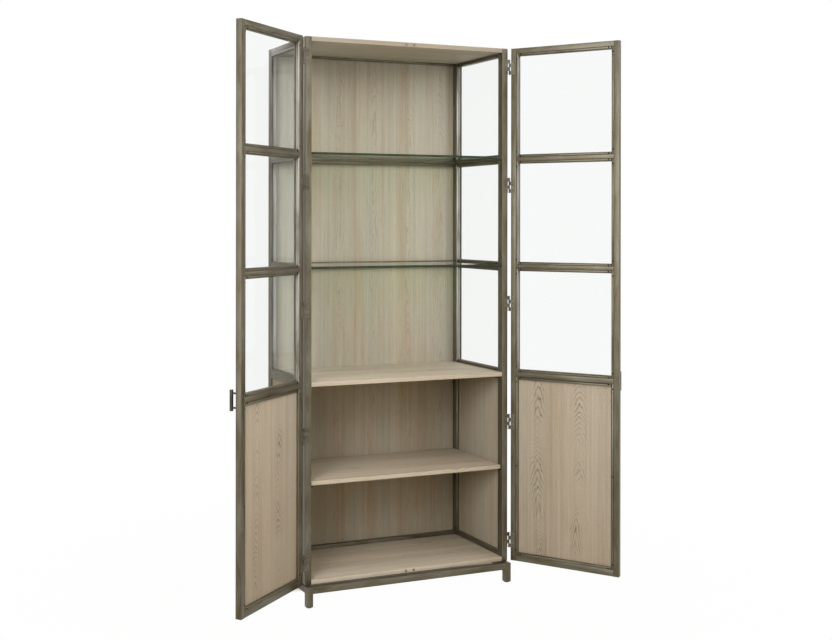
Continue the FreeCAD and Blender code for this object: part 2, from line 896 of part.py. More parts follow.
ledgeWidth = size("ledgeWidth")
ledges = []
for name, level in (("lower", size("lowerRailLevel")), ("upper", size("upperRailLevel"))):
    bottom = level + size("glassShelfLift")
    gap = size("glassShelfGap")
    glass = board(
        f"glass_shelf_{name}_sheet",
        (innerLeft + gap, carcassFront, bottom),
        (innerRight - gap, rearPostFront - gap, bottom + size("glassShelfThickness")),
        size("panelEase"),
    )
    node(f"glass_shelf_{name}", [glass])
    under = bottom - size("ledgeThickness")
    betweenX = (innerLeft + ledgeWidth, innerRight - ledgeWidth)
    for place, x, front in (
        ("left", (innerLeft, betweenX[0]), frontPostRear),
        ("right", (betweenX[1], innerRight), frontPostRear),
        ("rear", betweenX, rearPostFront - ledgeWidth),
    ):
        ledges.append(bar(f"ledge_{name}_{place}", (x[0], front, under), (x[1], rearPostFront, bottom)))
node("glass_shelf_ledges", ledges)

# Base frame

baseLeft = carcassLeft - size("baseSideOverhang")
baseRight = carcassRight + size("baseSideOverhang")
baseFront = carcassFront - size("baseFrontOverhang")
legsX = ((baseLeft, baseLeft + post), (baseRight - post, baseRight))
legsY = ((baseFront, baseFront + post), (rearPostFront, carcassRear))

legs = []
plugs = []
glides = []
inside = size("tubeWall") + size("plugFit")
stemBore = size("glideStemRadius") + size("screwFit")
for column, x in enumerate(legsX):
    for row, y in enumerate(legsY):
        name = f"leg_{column}{row}"
        legLow = (x[0], y[0], size("glideHeight"))
        legs.append(tube(name, "z", legLow, (x[1], y[1], size("baseTop")), capEnd=True))
        plugLow = (x[0] + inside, y[0] + inside, size("glideHeight"))
        plugHigh = (x[1] - inside, y[1] - inside, size("glideHeight") + size("plugLength"))
        stem = rod(
            f"{name}_stem_hole",
            stemBore,
            size("plugLength"),
            (middle(*x), middle(*y), size("glideHeight")),
            Vector(0, 0, 1),
        )
        plugs.append(cut(f"{name}_plug", bar(f"{name}_plug_block", plugLow, plugHigh), stem))
        glides.append((middle(*x), middle(*y), zero))


# a turned glide on its stem, standing on the origin, with its lower edge rounded
def glideShape():
    radius = size("glideRadius")
    height = size("glideHeight")
    foot = rod("glide_foot", radius, height, (zero, zero, zero), Vector(0, 0, 1))
    reach = height + size("glideStemLength")
    stem = rod("glide_stem", size("glideStemRadius"), reach, (zero, zero, zero), Vector(0, 0, 1))
    blank = doc.addObject("Part::Fuse", "glide_blank")
    blank.Base = foot
    blank.Tool = stem
    doc.recompute()
    glide = doc.addObject("Part::Fillet", "glide")
    glide.Base = blank
    rounding = size("glideRounding").amount
    rims = []
    for number, edge in enumerate(blank.Shape.Edges, start=1):
        isRing = isinstance(edge.Curve, Part.Circle)
        if isRing and edge.Curve.Radius > radius.amount * 0.99 and edge.BoundBox.ZMax < height.amount / 2:
            rims.append((number, rounding, rounding))
    glide.Edges = rims
    doc.recompute()
    return glide.Shape


node("base_legs", legs)
node("leg_plugs", plugs)
node("leg_glides", [levelCopies("glide_set", glideShape(), glides)])

railEndsX = (baseLeft + post, baseRight - post)
railEndsY = (baseFront + post, rearPostFront)
baseTop = size("baseTop")
baseRails = []
for name, y in (("front", legsY[0]), ("rear", legsY[1])):
    low = (railEndsX[0], y[0], baseRailBottom)
    baseRails.append(tube(f"base_rail_{name}", "x", low, (railEndsX[1], y[1], baseTop)))
for name, x in (("left", legsX[0]), ("right", legsX[1])):
    low = (x[0], railEndsY[0], baseRailBottom)
    baseRails.append(tube(f"base_rail_{name}", "y", low, (x[1], railEndsY[1], baseTop)))
node("base_rails", [cut("base_rails_drilled", group("base_rail_tubes", baseRails), boltHoles)])

halfSpacer = size("spacerWidth") / 2
spacers = []
for name, (low, high) in postsX.items():
    x = middle(low, high)
    spacers.append(
        bar(
            f"spacer_{name}",
            (x - halfSpacer, carcassFront + size("spacerEndGap"), baseTop),
            (x + halfSpacer, carcassRear - size("spacerEndGap"), carcassBottom),
        )
    )
node("base_spacers", [cut("base_spacers_drilled", group("spacer_strips", spacers), boltHoles)])

# Hinges: fixed leaves and their screws on the posts, with the pins

fixedLeaves = []
fixedScrews = []
pinPlaces = []
for side, (axisX, toward) in hingeAxes.items():
    leaf = hingeLeaf(f"{side}_fixed_leaf", toward, 1, firstKnuckle=1)
    places = [(axisX, hingeAxisY, bottom) for bottom in hingeBottoms]
    fixedLeaves.append(levelCopies(f"{side}_fixed_leaves", leaf, places))
    fixedScrews.append(copies(f"{side}_fixed_leaf_screws", hingeScrewShape, fixedHingeScrewPlaces(side)))
    pinPlaces += places


# a hinge pin with a flat head at each end, the knuckles standing between them
def pinShape():
    up = Vector(0, 0, 1)
    length = size("hingeLength")
    headHeight = size("pinHeadHeight")
    headRadius = size("pinHeadRadius")
    pieces = [
        rod("pin_shank", size("pinRadius"), length, (zero, zero, zero), up),
        rod("pin_foot", headRadius, headHeight, (zero, zero, -headHeight), up),
        rod("pin_head", headRadius, headHeight, (zero, zero, length), up),
    ]
    pin = doc.addObject("Part::MultiFuse", "hinge_pin")
    pin.Shapes = pieces
    doc.recompute()
    return pin.Shape


node("hinge_fixed_leaves", fixedLeaves)
node("hinge_fixed_screws", fixedScrews)
node("hinge_pins", [levelCopies("hinge_pin_set", pinShape(), pinPlaces)])


# Doors

doorInnerY = -size("hingeGap") / 2
doorOuterY = doorInnerY - size("doorThickness")
doorEdge = size("hingeAxisOffset")
doorFreeEdge = size("carcassWidth") / 2 + size("hingeAxisOffset") - size("doorMeetingGap") / 2
stile = size("stileWidth")
stileX = {"hinge": (doorEdge, doorEdge + stile), "free": (doorFreeEdge - stile, doorFreeEdge)}
handleX = middle(*stileX["free"])


# puts a door node on its hinge axis, turned open
def hang(thing, side):
    axisX, toward = hingeAxes[side]
    upright = Rotation(Vector(0, 0, 1), 1)
    thing.Placement = Placement(Vector(), upright)
    moveTo(thing, (axisX, hingeAxisY, zero))
    bind(thing, "Placement.Rotation.Angle", size(f"{side}DoorOpening") * -toward)


def doorNode(side, label, members):
    hang(node(f"{side}_door_{label}", members), side)


# a square grip on two round standoffs, each with a stud that goes into the stile
def handleBody(name, place):
    body = doc.addObject("PartDesign::Body", name)
    standing = size("handleReach") - size("gripThickness")
    halfSpacing = size("standoffSpacing") / 2

    feet = sketchOn(body, "XZ_Plane", f"{name}_feet")
    studs = sketchOn(body, "XZ_Plane", f"{name}_studs")
    for z in (-halfSpacing, halfSpacing):
        addCircle(feet, size("standoffRadius"), zero, z)
        addCircle(studs, size("studRadius"), zero, z)
    face = sketchOn(body, "XZ_Plane", f"{name}_face", standing)
    addRectangle(face, size("gripWidth"), size("gripHeight"), size("gripRounding"))
    grip = pad(body, face, f"{name}_grip", size("gripThickness"))
    doc.recompute()

    front = -size("handleReach").amount
    frontEdges = []
    for number, edge in enumerate(grip.Shape.Edges, start=1):
        if edge.BoundBox.YMax < front + 0.01:
            frontEdges.append(f"Edge{number}")
    easing = body.newObject("PartDesign::Fillet", f"{name}_easing")
    easing.Base = (grip, frontEdges)
    bind(easing, "Radius", size("gripEdgeRounding"))
    pad(body, feet, f"{name}_standoffs", standing)
    pad(body, studs, f"{name}_stud_pair", size("studLength"), True)
    moveTo(body, place)
    doc.recompute()
    return body


# the glazed frame of a door that reaches from its hinge towards +X or -X
def doorFrame(name, toward):
    def place(u, depth, z):
        return (u * toward, doorInnerY - depth, z)

    low, high = stileX["hinge"][1], stileX["free"][0]
    return Frame(name, low, high, size("doorThickness"), place, Vector(0, -1, 0))


for side, (axisX, toward) in hingeAxes.items():
    name = f"{side}_door"
    frame = doorFrame(name, toward)

    members = []
    for end, (start, stop) in stileX.items():
        x = span(toward, start, stop)
        low = (x[0], doorOuterY, doorBottom)
        high = (x[1], doorInnerY, cabinetTop)
        members.append(tube(f"{name}_{end}_stile", "z", low, high, capStart=True, capEnd=True))
    railX = span(toward, frame.low, frame.high)
    for number, (bottom, top) in enumerate(railLevels(doorBottom)):
        low = (railX[0], doorOuterY, bottom)
        members.append(tube(f"{name}_rail_{number}", "x", low, (railX[1], doorInnerY, top)))

    leafScrewPlaces = hingeScrewPlaces(toward, -1, hingeBottoms)
    leafHoles = copies(f"{name}_leaf_holes", hingeScrewHole, leafScrewPlaces)
    studHoles = []
    radius = size("studRadius") + size("screwFit")
    for number, step in enumerate((-1, 1)):
        z = size("handleLevel") + size("standoffSpacing") / 2 * step
        place = (handleX * toward, doorOuterY, z)
        hole = rod(f"{name}_stud_hole_{number}", radius, size("studLength"), place, Vector(0, 1, 0))
        studHoles.append(hole)
    drilling = group(f"{name}_holes", [leafHoles] + studHoles)
    doorNode(side, "frame", [cut(f"{name}_drilled", group(f"{name}_tubes", members), drilling)])

    glazing = glaze(frame)
    doorNode(side, "stops", [glazing["stops"]])
    doorNode(side, "beads", [glazing["beads"]])
    doorNode(side, "bead_screws", [glazing["screws"]])
    doorNode(side, "panes", glazing["panes"])
    doorNode(side, "infill", [glazing["infill"]])

    leaf = hingeLeaf(f"{side}_door_leaf", toward, -1, firstKnuckle=0)
    leafPlaces = [(zero, zero, bottom) for bottom in hingeBottoms]
    doorNode(side, "hinge_leaves", [levelCopies(f"{name}_leaves", leaf, leafPlaces)])
    doorNode(side, "hinge_screws", [copies(f"{name}_leaf_screws", hingeScrewShape, leafScrewPlaces)])
    handlePlace = (handleX * toward, doorOuterY, size("handleLevel"))
    doorNode(side, "handle", [handleBody(f"{name}_handle_body", handlePlace)])

# Checks and export

doc.recompute()
for thing in doc.Objects:
    if "Invalid" in thing.State or "Error" in thing.State:
        raise RuntimeError(f"{thing.Name} failed: {thing.State}")
for thing in nodes:
    if thing.Shape.isNull() or not thing.Shape.isValid() or not thing.Shape.Solids:
        raise RuntimeError(f"{thing.Label} has no valid shape")

os.makedirs("parts", exist_ok=True)
for thing in nodes:
    thing.Shape.exportStep(f"parts/{thing.Label}.step")
print(f"{len(nodes)} nodes written")
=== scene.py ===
import json
import math

import bmesh
import bpy
from mathutils import Matrix, Vector


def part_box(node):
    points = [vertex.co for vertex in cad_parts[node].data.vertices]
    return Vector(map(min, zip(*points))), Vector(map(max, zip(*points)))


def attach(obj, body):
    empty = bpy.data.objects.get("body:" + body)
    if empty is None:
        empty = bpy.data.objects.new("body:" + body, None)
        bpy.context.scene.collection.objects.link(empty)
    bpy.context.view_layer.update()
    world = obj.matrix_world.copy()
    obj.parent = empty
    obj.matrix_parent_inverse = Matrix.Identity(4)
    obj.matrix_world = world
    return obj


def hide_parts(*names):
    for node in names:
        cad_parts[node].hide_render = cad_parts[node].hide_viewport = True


# A tall glazed bookcase: the frame gives every place and size, and each piece here gets its
# finished edges and surfaces. All lengths are in metres.

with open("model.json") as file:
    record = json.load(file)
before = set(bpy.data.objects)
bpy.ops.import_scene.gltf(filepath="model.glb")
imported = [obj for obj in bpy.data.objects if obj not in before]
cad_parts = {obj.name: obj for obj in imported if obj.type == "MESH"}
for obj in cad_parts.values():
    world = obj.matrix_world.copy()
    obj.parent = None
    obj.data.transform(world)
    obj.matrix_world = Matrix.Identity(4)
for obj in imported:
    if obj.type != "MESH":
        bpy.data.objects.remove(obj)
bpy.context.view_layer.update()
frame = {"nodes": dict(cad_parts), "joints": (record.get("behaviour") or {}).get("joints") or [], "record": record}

scene = bpy.context.scene
scene.view_settings.view_transform = "Standard"

bodyOfNode = {}
for bodyName, members in frame["record"]["behaviour"]["bodies"].items():
    for member in members:
        bodyOfNode[member] = bodyName
print("frame loaded:", len(bodyOfNode), "nodes")

# How each door turns shut from where it stands open. Door pieces are made with the door shut,
# square to the axes, and are then turned open again.
shutTurns = {"cabinet": Matrix.Identity(4)}
hingeLines = []
for joint in frame["joints"]:
    hingeLine = Matrix.Translation(joint["pos_m"])
    shutAngle = math.radians(max(joint["range_deg"], key=abs))
    turn = Matrix.Rotation(shutAngle, 4, joint["axis"])
    shutTurns[joint["child"]] = hingeLine @ turn @ hingeLine.inverted()
    hingeLines.append(Vector(joint["pos_m"]))
middleX = sum(corner[0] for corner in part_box("top_panel")) / 2

mergeReach = 1e-6  # corners nearer than this are one
alongAxis = 0.9  # a direction with this much of an axis in it runs along that axis
flatFace = 0.9999
sharpAngle = math.radians(35)


def isWhole(edge):
    return len(edge.link_faces) == 2


# the lowest and highest corners of every separate solid in a node, with its door shut
def solidsOf(node):
    bm = bmesh.new()
    bm.from_mesh(frame["nodes"][node].data)
    bm.transform(shutTurns[bodyOfNode[node]])
    bmesh.ops.remove_doubles(bm, verts=bm.verts, dist=mergeReach)
    waiting = set(bm.faces)
    solids = []
    while waiting:
        front = [waiting.pop()]
        corners = set()
        while front:
            face = front.pop()
            corners.update(face.verts)
            for edge in filter(isWhole, face.edges):
                for other in edge.link_faces:
                    if other in waiting:
                        waiting.remove(other)
                        front.append(other)
        places = [corner.co for corner in corners]
        low = Vector([min(place[i] for place in places) for i in range(3)])
        high = Vector([max(place[i] for place in places) for i in range(3)])
        solids.append((low, high))
    bm.free()
    # from the bottom up, then by x and y, in tenths of a millimetre
    return sorted(solids, key=lambda box: [round(box[0][i], 4) for i in (2, 0, 1)])


def longestAxis(low, high):
    size = high - low
    return max(range(3), key=lambda i: size[i])


def thinnestAxis(low, high):
    size = high - low
    return min(range(3), key=lambda i: size[i])


def addTo(whole, part):
    carrier = bpy.data.meshes.new("carrier")
    part.to_mesh(carrier)
    part.free()
    whole.from_mesh(carrier)
    bpy.data.meshes.remove(carrier)


def newVerts(made):
    return [thing for thing in made["geom"] if isinstance(thing, bmesh.types.BMVert)]


def roundEdges(bm, edges, offset, segments):
    bmesh.ops.bevel(
        bm, geom=edges, offset=offset, segments=segments, affect="EDGES", profile=0.5, material=-1
    )
    bm.normal_update()


# Each face gets map coordinates in metres: first along the grain, then across it.
def layGrain(bm, axis, shift):
    layer = bm.loops.layers.uv.get("grain") or bm.loops.layers.uv.new("grain")
    first, second = [i for i in range(3) if i != axis]
    for face in bm.faces:
        normal = face.normal
        across = second if abs(normal[first]) > abs(normal[second]) else first
        along = axis
        if abs(normal[axis]) > 0.7:  # an end of the bar
            along = first
            across = second
        for loop in face.loops:
            place = loop.vert.co
            loop[layer].uv = (place[along] + shift[0], place[across] + shift[1])


def isFlat(face):
    return max(abs(part) for part in face.normal) > flatFace


# A box between two corners with its long edges and its end edges rounded. slope is a pair: the
# way to the one long edge that is cut off at a slant, and the width of that cut.
def easedBar(low, high, longRounding, endRounding, segments=3, axis=None, slope=None):
    if axis is None:
        axis = longestAxis(low, high)
    bm = bmesh.new()
    size = Matrix.Diagonal((*(high - low), 1))
    bmesh.ops.create_cube(bm, size=1, matrix=Matrix.Translation((low + high) / 2) @ size)

    def along(edge):
        return abs((edge.verts[1].co - edge.verts[0].co).normalized()[axis]) > alongAxis

    def reach(edge):
        return (edge.verts[0].co + edge.verts[1].co).dot(slope[0])

    if slope:
        roundEdges(bm, [max(filter(along, bm.edges), key=reach)], slope[1], 1)
    roundEdges(bm, list(filter(along, bm.edges)), longRounding, segments)
    if endRounding:
        endEdges = set()
        for face in bm.faces:
            if abs(face.normal[axis]) > alongAxis:
                endEdges.update(face.edges)
        roundEdges(bm, list(endEdges), endRounding, min(segments, 2))
    for face in bm.faces:
        face.smooth = segments > 1 and not isFlat(face)
    return bm


# a solid of revolution about a line up through the origin, from points (radius, height)
def turned(profile, steps):
    bm = bmesh.new()
    line = [bm.verts.new((radius, 0, height)) for radius, height in profile]
    edges = [bm.edges.new(pair) for pair in zip(line, line[1:])]
    bmesh.ops.spin(
        bm, geom=line + edges, cent=(0, 0, 0), axis=(0, 0, 1), angle=math.tau, steps=steps,
        use_merge=True,
    )
    bmesh.ops.remove_doubles(bm, verts=bm.verts, dist=mergeReach)
    bmesh.ops.recalc_face_normals(bm, faces=bm.faces)
    for face in bm.faces:
        face.smooth = not isFlat(face)
    return bm


# turns a door piece open, makes it an object and lets it stand for its node
def placePiece(bm, name, node, *materials):
    bm.transform(shutTurns[bodyOfNode[node]].inverted())
    mesh = bpy.data.meshes.new(name)
    bm.to_mesh(mesh)
    bm.free()
    piece = bpy.data.objects.new(name, mesh)
    scene.collection.objects.link(piece)
    for material in materials:
        mesh.materials.append(material)
    mesh.set_sharp_from_angle(angle=sharpAngle)
    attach(piece, bodyOfNode[node])
    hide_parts(node)


def finishNode(node, material):
    data = frame["nodes"][node].data
    data.materials.clear()
    data.materials.append(material)


noiseSpan = (0.3, 0.7)  # most values of a noise lie between these
wideSpan = (0.2, 0.8)  # and nearly all between these


# One material while its nodes are being put together.
class Recipe:
    def __init__(self, name):
        self.material = bpy.data.materials.new(name)
        self.material.use_nodes = True
        self.tree = self.material.node_tree
        self.tree.nodes.clear()
        self.output = self.tree.nodes.new("ShaderNodeOutputMaterial")

    def add(self, kind, inputs=None, **settings):
        made = self.tree.nodes.new("ShaderNode" + kind)
        for key, setting in settings.items():
            setattr(made, key, setting)
        for key, value in (inputs or {}).items():
            if isinstance(value, bpy.types.NodeSocket):
                self.tree.links.new(value, made.inputs[key])
            else:
                made.inputs[key].default_value = value
        return made

    def grain(self):
        return self.add("UVMap", uv_map="grain").outputs["UV"]

    def place(self):
        return self.add("TexCoord").outputs["Object"]

    # noise on coordinates that are stretched by a factor for each axis
    def noise(self, vector, stretch, detail=2.0, roughness=0.5, distortion=0.0):
        scaled = self.add("Mapping", {"Vector": vector, "Scale": stretch}).outputs["Vector"]
        inputs = {"Vector": scaled, "Scale": 1.0, "Detail": detail}
        inputs.update({"Roughness": roughness, "Distortion": distortion})
        return self.add("TexNoise", inputs).outputs["Fac"]

    def calc(self, operation, first, second=0.0, clamp=False):
        inputs = {0: first, 1: second}
        return self.add("Math", inputs, operation=operation, use_clamp=clamp).outputs[0]

    def ranged(self, value, fromLow, fromHigh, toLow, toHigh):
        inputs = {"Value": value, "From Min": fromLow, "From Max": fromHigh}
        inputs.update({"To Min": toLow, "To Max": toHigh})
        return self.add("MapRange", inputs).outputs["Result"]

    def ramp(self, value, stops):
        made = self.add("ValToRGB", {"Fac": value})
        elements = made.color_ramp.elements
        while len(elements) < len(stops):
            elements.new(0.5)
        for element, (position, colour) in zip(elements, stops):
            element.position = position
            element.color = (*colour, 1)
        return made.outputs["Color"]

    def mix(self, factor, first, second, blend="MIX"):
        made = self.add("Mix", data_type="RGBA", blend_type=blend)
        for key, value in ((0, factor), (6, first), (7, second)):
            if isinstance(value, bpy.types.NodeSocket):
                self.tree.links.new(value, made.inputs[key])
            elif key == 0:
                made.inputs[key].default_value = value
            else:
                made.inputs[key].default_value = (*value, 1)
        return made.outputs[2]

    def shaded(self, colour, shade):
        parts = {"Red": shade, "Green": shade, "Blue": shade}
        return self.mix(1.0, colour, self.add("CombineColor", parts).outputs[0], "MULTIPLY")

    def bump(self, height, strength, distance):
        inputs = {"Height": height, "Strength": strength, "Distance": distance}
        return self.add("Bump", inputs).outputs["Normal"]

    def principled(self, varying, fixed):
        made = self.add("BsdfPrincipled", varying)
        for key, value in fixed.items():
            made.inputs[key].default_value = value
        return made.outputs[0]

    def finish(self, shader):
        self.tree.links.new(shader, self.output.inputs["Surface"])
        return self.material


bronze = {
    "light": (0.184, 0.170, 0.124),
    "middle": (0.136, 0.120, 0.082),
    "brown": (0.098, 0.078, 0.044),
    "metallic": 0.50,
    "roughness": (0.32, 0.48),
    "gloss": 0.15,
}
# paler metal for the slopes of upright beads beside glass: a painted sheen
paleBeadSheen = {
    "light": (0.370, 0.350, 0.315),
    "middle": (0.290, 0.270, 0.235),
    "brown": (0.200, 0.178, 0.142),
    "metallic": 0.4,
    "roughness": (0.30, 0.44),
    "gloss": 0.3,
}
screwBlack = {
    "light": (0.010, 0.009, 0.007),
    "middle": (0.006, 0.005, 0.004),
    "brown": (0.004, 0.003, 0.002),
    "metallic": 0.0,
    "roughness": (0.45, 0.60),
    "gloss": 0.06,
}
knuckleBronze = {
    "light": (0.170, 0.156, 0.128),
    "middle": (0.104, 0.094, 0.074),
    "brown": (0.052, 0.042, 0.026),
    "metallic": 0.4,
    "roughness": (0.32, 0.48),
    "gloss": 0.3,
}
handleBronze = {
    "light": (0.085, 0.080, 0.066),
    "middle": (0.056, 0.052, 0.041),
    "brown": (0.036, 0.031, 0.022),
    "metallic": 0.5,
    "roughness": (0.32, 0.50),
    "gloss": 0.4,
}
magnetMetal = {
    "light": (0.300, 0.255, 0.195),
    "middle": (0.230, 0.190, 0.138),
    "brown": (0.160, 0.126, 0.086),
    "metallic": 0.5,
    "roughness": (0.30, 0.45),
    "gloss": 0.3,
}
brushing = {
    "lines": (5, 900, 900), "lineShade": (0.86, 1.12),
    "flecks": (60, 260, 260), "fleckSpan": (0.28, 0.42), "fleckShade": (0.82, 1.0),
    "clouds": (6, 24, 24), "patina": (0.32, 0.50, 0.70),
    "roughSpan": (0.7, 1.3), "relief": 0.12, "reliefDepth": 0.0004,
}


# Brushed, antiqued metal. Its map runs along the brushing in its first part.
def makeMetal(name, shades, mapped):
    recipe = Recipe(name)
    vector = recipe.grain() if mapped else recipe.place()
    lines = recipe.noise(vector, brushing["lines"], detail=3, roughness=0.65)
    clouds = recipe.noise(vector, brushing["clouds"], detail=4, roughness=0.6, distortion=0.4)
    flecks = recipe.noise(vector, brushing["flecks"], detail=3, roughness=0.7)
    tones = [shades[tone] for tone in ("brown", "middle", "light")]
    patina = recipe.ramp(clouds, list(zip(brushing["patina"], tones)))
    lineShade = recipe.ranged(lines, *noiseSpan, *brushing["lineShade"])
    fleckShade = recipe.ranged(flecks, *brushing["fleckSpan"], *brushing["fleckShade"])
    rough = recipe.calc("ADD", lines, clouds)
    surface = {
        "Base Color": recipe.shaded(patina, recipe.calc("MULTIPLY", lineShade, fleckShade)),
        "Roughness": recipe.ranged(rough, *brushing["roughSpan"], *shades["roughness"]),
        "Normal": recipe.bump(lines, brushing["relief"], brushing["reliefDepth"]),
    }
    fixed = {"Metallic": shades["metallic"], "Specular IOR Level": shades["gloss"]}
    return recipe.finish(recipe.principled(surface, fixed))


oak = {
    "leafWidth": 0.158, "leafShade": (0.95, 1.04), "laneStep": 7.3,
    "pointed": 1.3, "wander": 0.009, "wobble": 0.003, "ragged": 0.0012,
    "ringSpacing": 0.0076,
    "ringLine": [(0.0, 0.5), (0.14, 0.0), (0.66, 0.08), (0.93, 1.0)],  # place in the ring, darkness
    "lineFar": 0.16,
    "line": (0.150, 0.106, 0.060),
    "fadingSpan": (0.38, 0.62), "stretchSpan": (0.40, 0.58),
    "pore": (0.150, 0.106, 0.060),
    "poreSpan": (0.60, 0.72), "poreAmount": 0.5, "poreNearLine": 0.09,
    "toneSpan": (0.34, 0.50, 0.66), "fibreShade": (0.86, 1.10), "stripShade": (0.91, 1.08),
    "roughness": (0.52, 0.68), "gloss": 0.16,
    "relief": 0.35, "reliefDepth": 0.0004, "lineDepth": -0.4,
}
# how closely each pattern repeats along the grain and across it
oakStretch = {
    "drift": (2.1, 1, 1), "rise": (3.9, 3.7, 1), "stretches": (5.2, 9.1, 1),
    "wobble": (18, 70, 70), "ragged": (34, 210, 210), "fading": (7, 40, 40),
    "dashes": (55, 1500, 1500), "fibres": (9, 620, 620),
    "bands": (0.9, 14, 14), "strips": (0.7, 75, 75),
}
plainFigure = {
    "pale": (0.442, 0.392, 0.300),
    "warm": (0.404, 0.338, 0.244),
    "cool": (0.416, 0.382, 0.302),
    "lean": 0.05,
    "swell": 0.050,
    "reach": (0.012, 0.056),
    "strength": 0.36,
    "faintest": 0.28,
    "quiet": 0.7,
}
# the shelves' oak: a stronger figure, and paler than the plain oak as painted light for their tops lit from above
litShelfFigure = {
    "pale": (0.620, 0.546, 0.424),
    "warm": (0.570, 0.474, 0.350),
    "cool": (0.586, 0.532, 0.424),
    "lean": 0.05,
    "swell": 0.050,
    "reach": (0.012, 0.056),
    "strength": 0.62,
    "faintest": 0.28,
    "quiet": 0.7,
}
archedFigure = {
    "pale": (0.510, 0.440, 0.336),
    "warm": (0.468, 0.388, 0.286),
    "cool": (0.488, 0.434, 0.342),
    "lean": 0.28,
    "swell": 0.034,
    "reach": (0.010, 0.034),
    "strength": 0.84,
    "faintest": 0.40,
    "quiet": 0.12,
}


# Limed oak veneer, sawn flat. In each leaf of veneer the rings lie nearly flat along a heart
# line, so that there they draw nested arches, and beside it they run straight.
def makeOak(name, figure):
    recipe = Recipe(name)
    grain = recipe.grain()
    parts = recipe.add("SeparateXYZ", {"Vector": grain}).outputs
    along, across = parts["X"], parts["Y"]

    leaves = recipe.calc("DIVIDE", across, oak["leafWidth"])
    leaf = recipe.calc("FLOOR", leaves)
    chance = recipe.add("TexWhiteNoise", {"W": leaf}, noise_dimensions="1D").outputs["Color"]
    chances = recipe.add("SeparateColor", {"Color": chance}).outputs

    # how far a point lies beside the heart line of its leaf
    lanes = recipe.calc("MULTIPLY", leaf, oak["laneStep"])
    lane = recipe.add("CombineXYZ", {"X": along, "Y": lanes}).outputs[0]
    drift = recipe.noise(lane, oakStretch["drift"], detail=1)
    wander = recipe.ranged(drift, *noiseSpan, -oak["wander"], oak["wander"])
    side = recipe.calc("SUBTRACT", recipe.calc("FRACT", leaves), 0.5)
    sideways = recipe.calc("ADD", recipe.calc("MULTIPLY", side, oak["leafWidth"]), wander)

    # how deep the heart lies under the surface there: it sinks along the grain, and wanders
    rise = recipe.noise(lane, oakStretch["rise"], detail=1.4, roughness=0.4)
    depth = recipe.calc("MULTIPLY", recipe.calc("SUBTRACT", rise, 0.5), figure["swell"] * 2)
    depth = recipe.calc("ADD", depth, recipe.calc("MULTIPLY", along, figure["lean"]))
    wobble = recipe.noise(grain, oakStretch["wobble"], detail=2)
    wobble = recipe.ranged(wobble, *wideSpan, -oak["wobble"], oak["wobble"])
    depth = recipe.calc("ADD", depth, wobble)

    # rings round the heart, drawn out to points
    pointed = oak["pointed"]
    powers = []
    for part in (sideways, depth):
        powers.append(recipe.calc("POWER", recipe.calc("ABSOLUTE", part), pointed))
    ragged = recipe.noise(grain, oakStretch["ragged"], detail=2)
    ragged = recipe.ranged(ragged, *wideSpan, -oak["ragged"], oak["ragged"])
    radius = recipe.calc("POWER", recipe.calc("ADD", *powers), 1 / pointed)
    radius = recipe.calc("ADD", radius, ragged)
    ring = recipe.calc("FRACT", recipe.calc("DIVIDE", radius, oak["ringSpacing"]))

    # late wood ends each ring in a dark line, strong near the heart and faint away from it
    lineShape = recipe.ramp(ring, [(place, (grey, grey, grey)) for place, grey in oak["ringLine"]])
    beside = recipe.calc("ABSOLUTE", sideways)
    reach = recipe.ranged(beside, *figure["reach"], 1.0, oak["lineFar"])
    fading = recipe.noise(grain, oakStretch["fading"], detail=3, roughness=0.6)
    strongest = figure["strength"]
    faintest = strongest * figure["faintest"]
    faded = recipe.ranged(fading, *oak["fadingSpan"], faintest, strongest)
    stretches = recipe.noise(lane, oakStretch["stretches"], detail=1)
    stretch = recipe.ranged(stretches, *oak["stretchSpan"], figure["quiet"], 1.0)
    strength = recipe.calc("MULTIPLY", recipe.calc("MULTIPLY", reach, faded), stretch)
    lineAmount = recipe.calc("MULTIPLY", lineShape, strength)

    # open pores: short dark dashes along the grain, most of them beside the lines
    dashes = recipe.noise(grain, oakStretch["dashes"], detail=2, roughness=0.6)
    besideLines = recipe.calc("MULTIPLY", lineAmount, oak["poreNearLine"])
    pores = recipe.ranged(recipe.calc("ADD", dashes, besideLines), *oak["poreSpan"], 0.0, 1.0)

    bands = recipe.noise(grain, oakStretch["bands"], detail=3, roughness=0.5)
    tones = [figure[tone] for tone in ("warm", "pale", "cool")]
    tone = recipe.ramp(bands, list(zip(oak["toneSpan"], tones)))
    strips = recipe.noise(grain, oakStretch["strips"], detail=2, roughness=0.6)
    fibres = recipe.noise(grain, oakStretch["fibres"], detail=3, roughness=0.7)
    shade = recipe.ranged(chances[2], 0, 1, *oak["leafShade"])
    for pattern, shades in ((fibres, oak["fibreShade"]), (strips, oak["stripShade"])):
        shade = recipe.calc("MULTIPLY", shade, recipe.ranged(pattern, *noiseSpan, *shades))
    colour = recipe.mix(lineAmount, recipe.shaded(tone, shade), oak["line"])
    poreAmount = recipe.calc("MULTIPLY", pores, oak["poreAmount"])
    colour = recipe.mix(poreAmount, colour, oak["pore"])

    poreHollows = recipe.calc("MULTIPLY", pores, -1.0)
    lineHollows = recipe.calc("MULTIPLY", lineAmount, oak["lineDepth"])
    hollows = recipe.calc("ADD", poreHollows, lineHollows)
    surface = {
        "Base Color": colour,
        "Roughness": recipe.ranged(fibres, *noiseSpan, *oak["roughness"]),
        "Normal": recipe.bump(hollows, oak["relief"], oak["reliefDepth"]),
    }
    return recipe.finish(recipe.principled(surface, {"Specular IOR Level": oak["gloss"]}))


thinGlass = {"tint": (0.925, 0.940, 0.930), "bending": 1.14}
thickGlass = {
    "tint": (0.930, 0.965, 0.900),
    "bending": 1.32,
    "absorbing": (0.42, 0.72, 0.40),
    "density": 9.0,
}
glassWaves = {"stretch": (5, 5, 5), "relief": 0.03, "reliefDepth": 0.002}
glassEdge = {
    "streaks": (14, 14, 240),
    "deep": [(0.35, (0.008, 0.026, 0.011)), (0.65, (0.022, 0.056, 0.026))],
    "roughness": (0.05, 0.12),
    "gloss": 0.4,
}


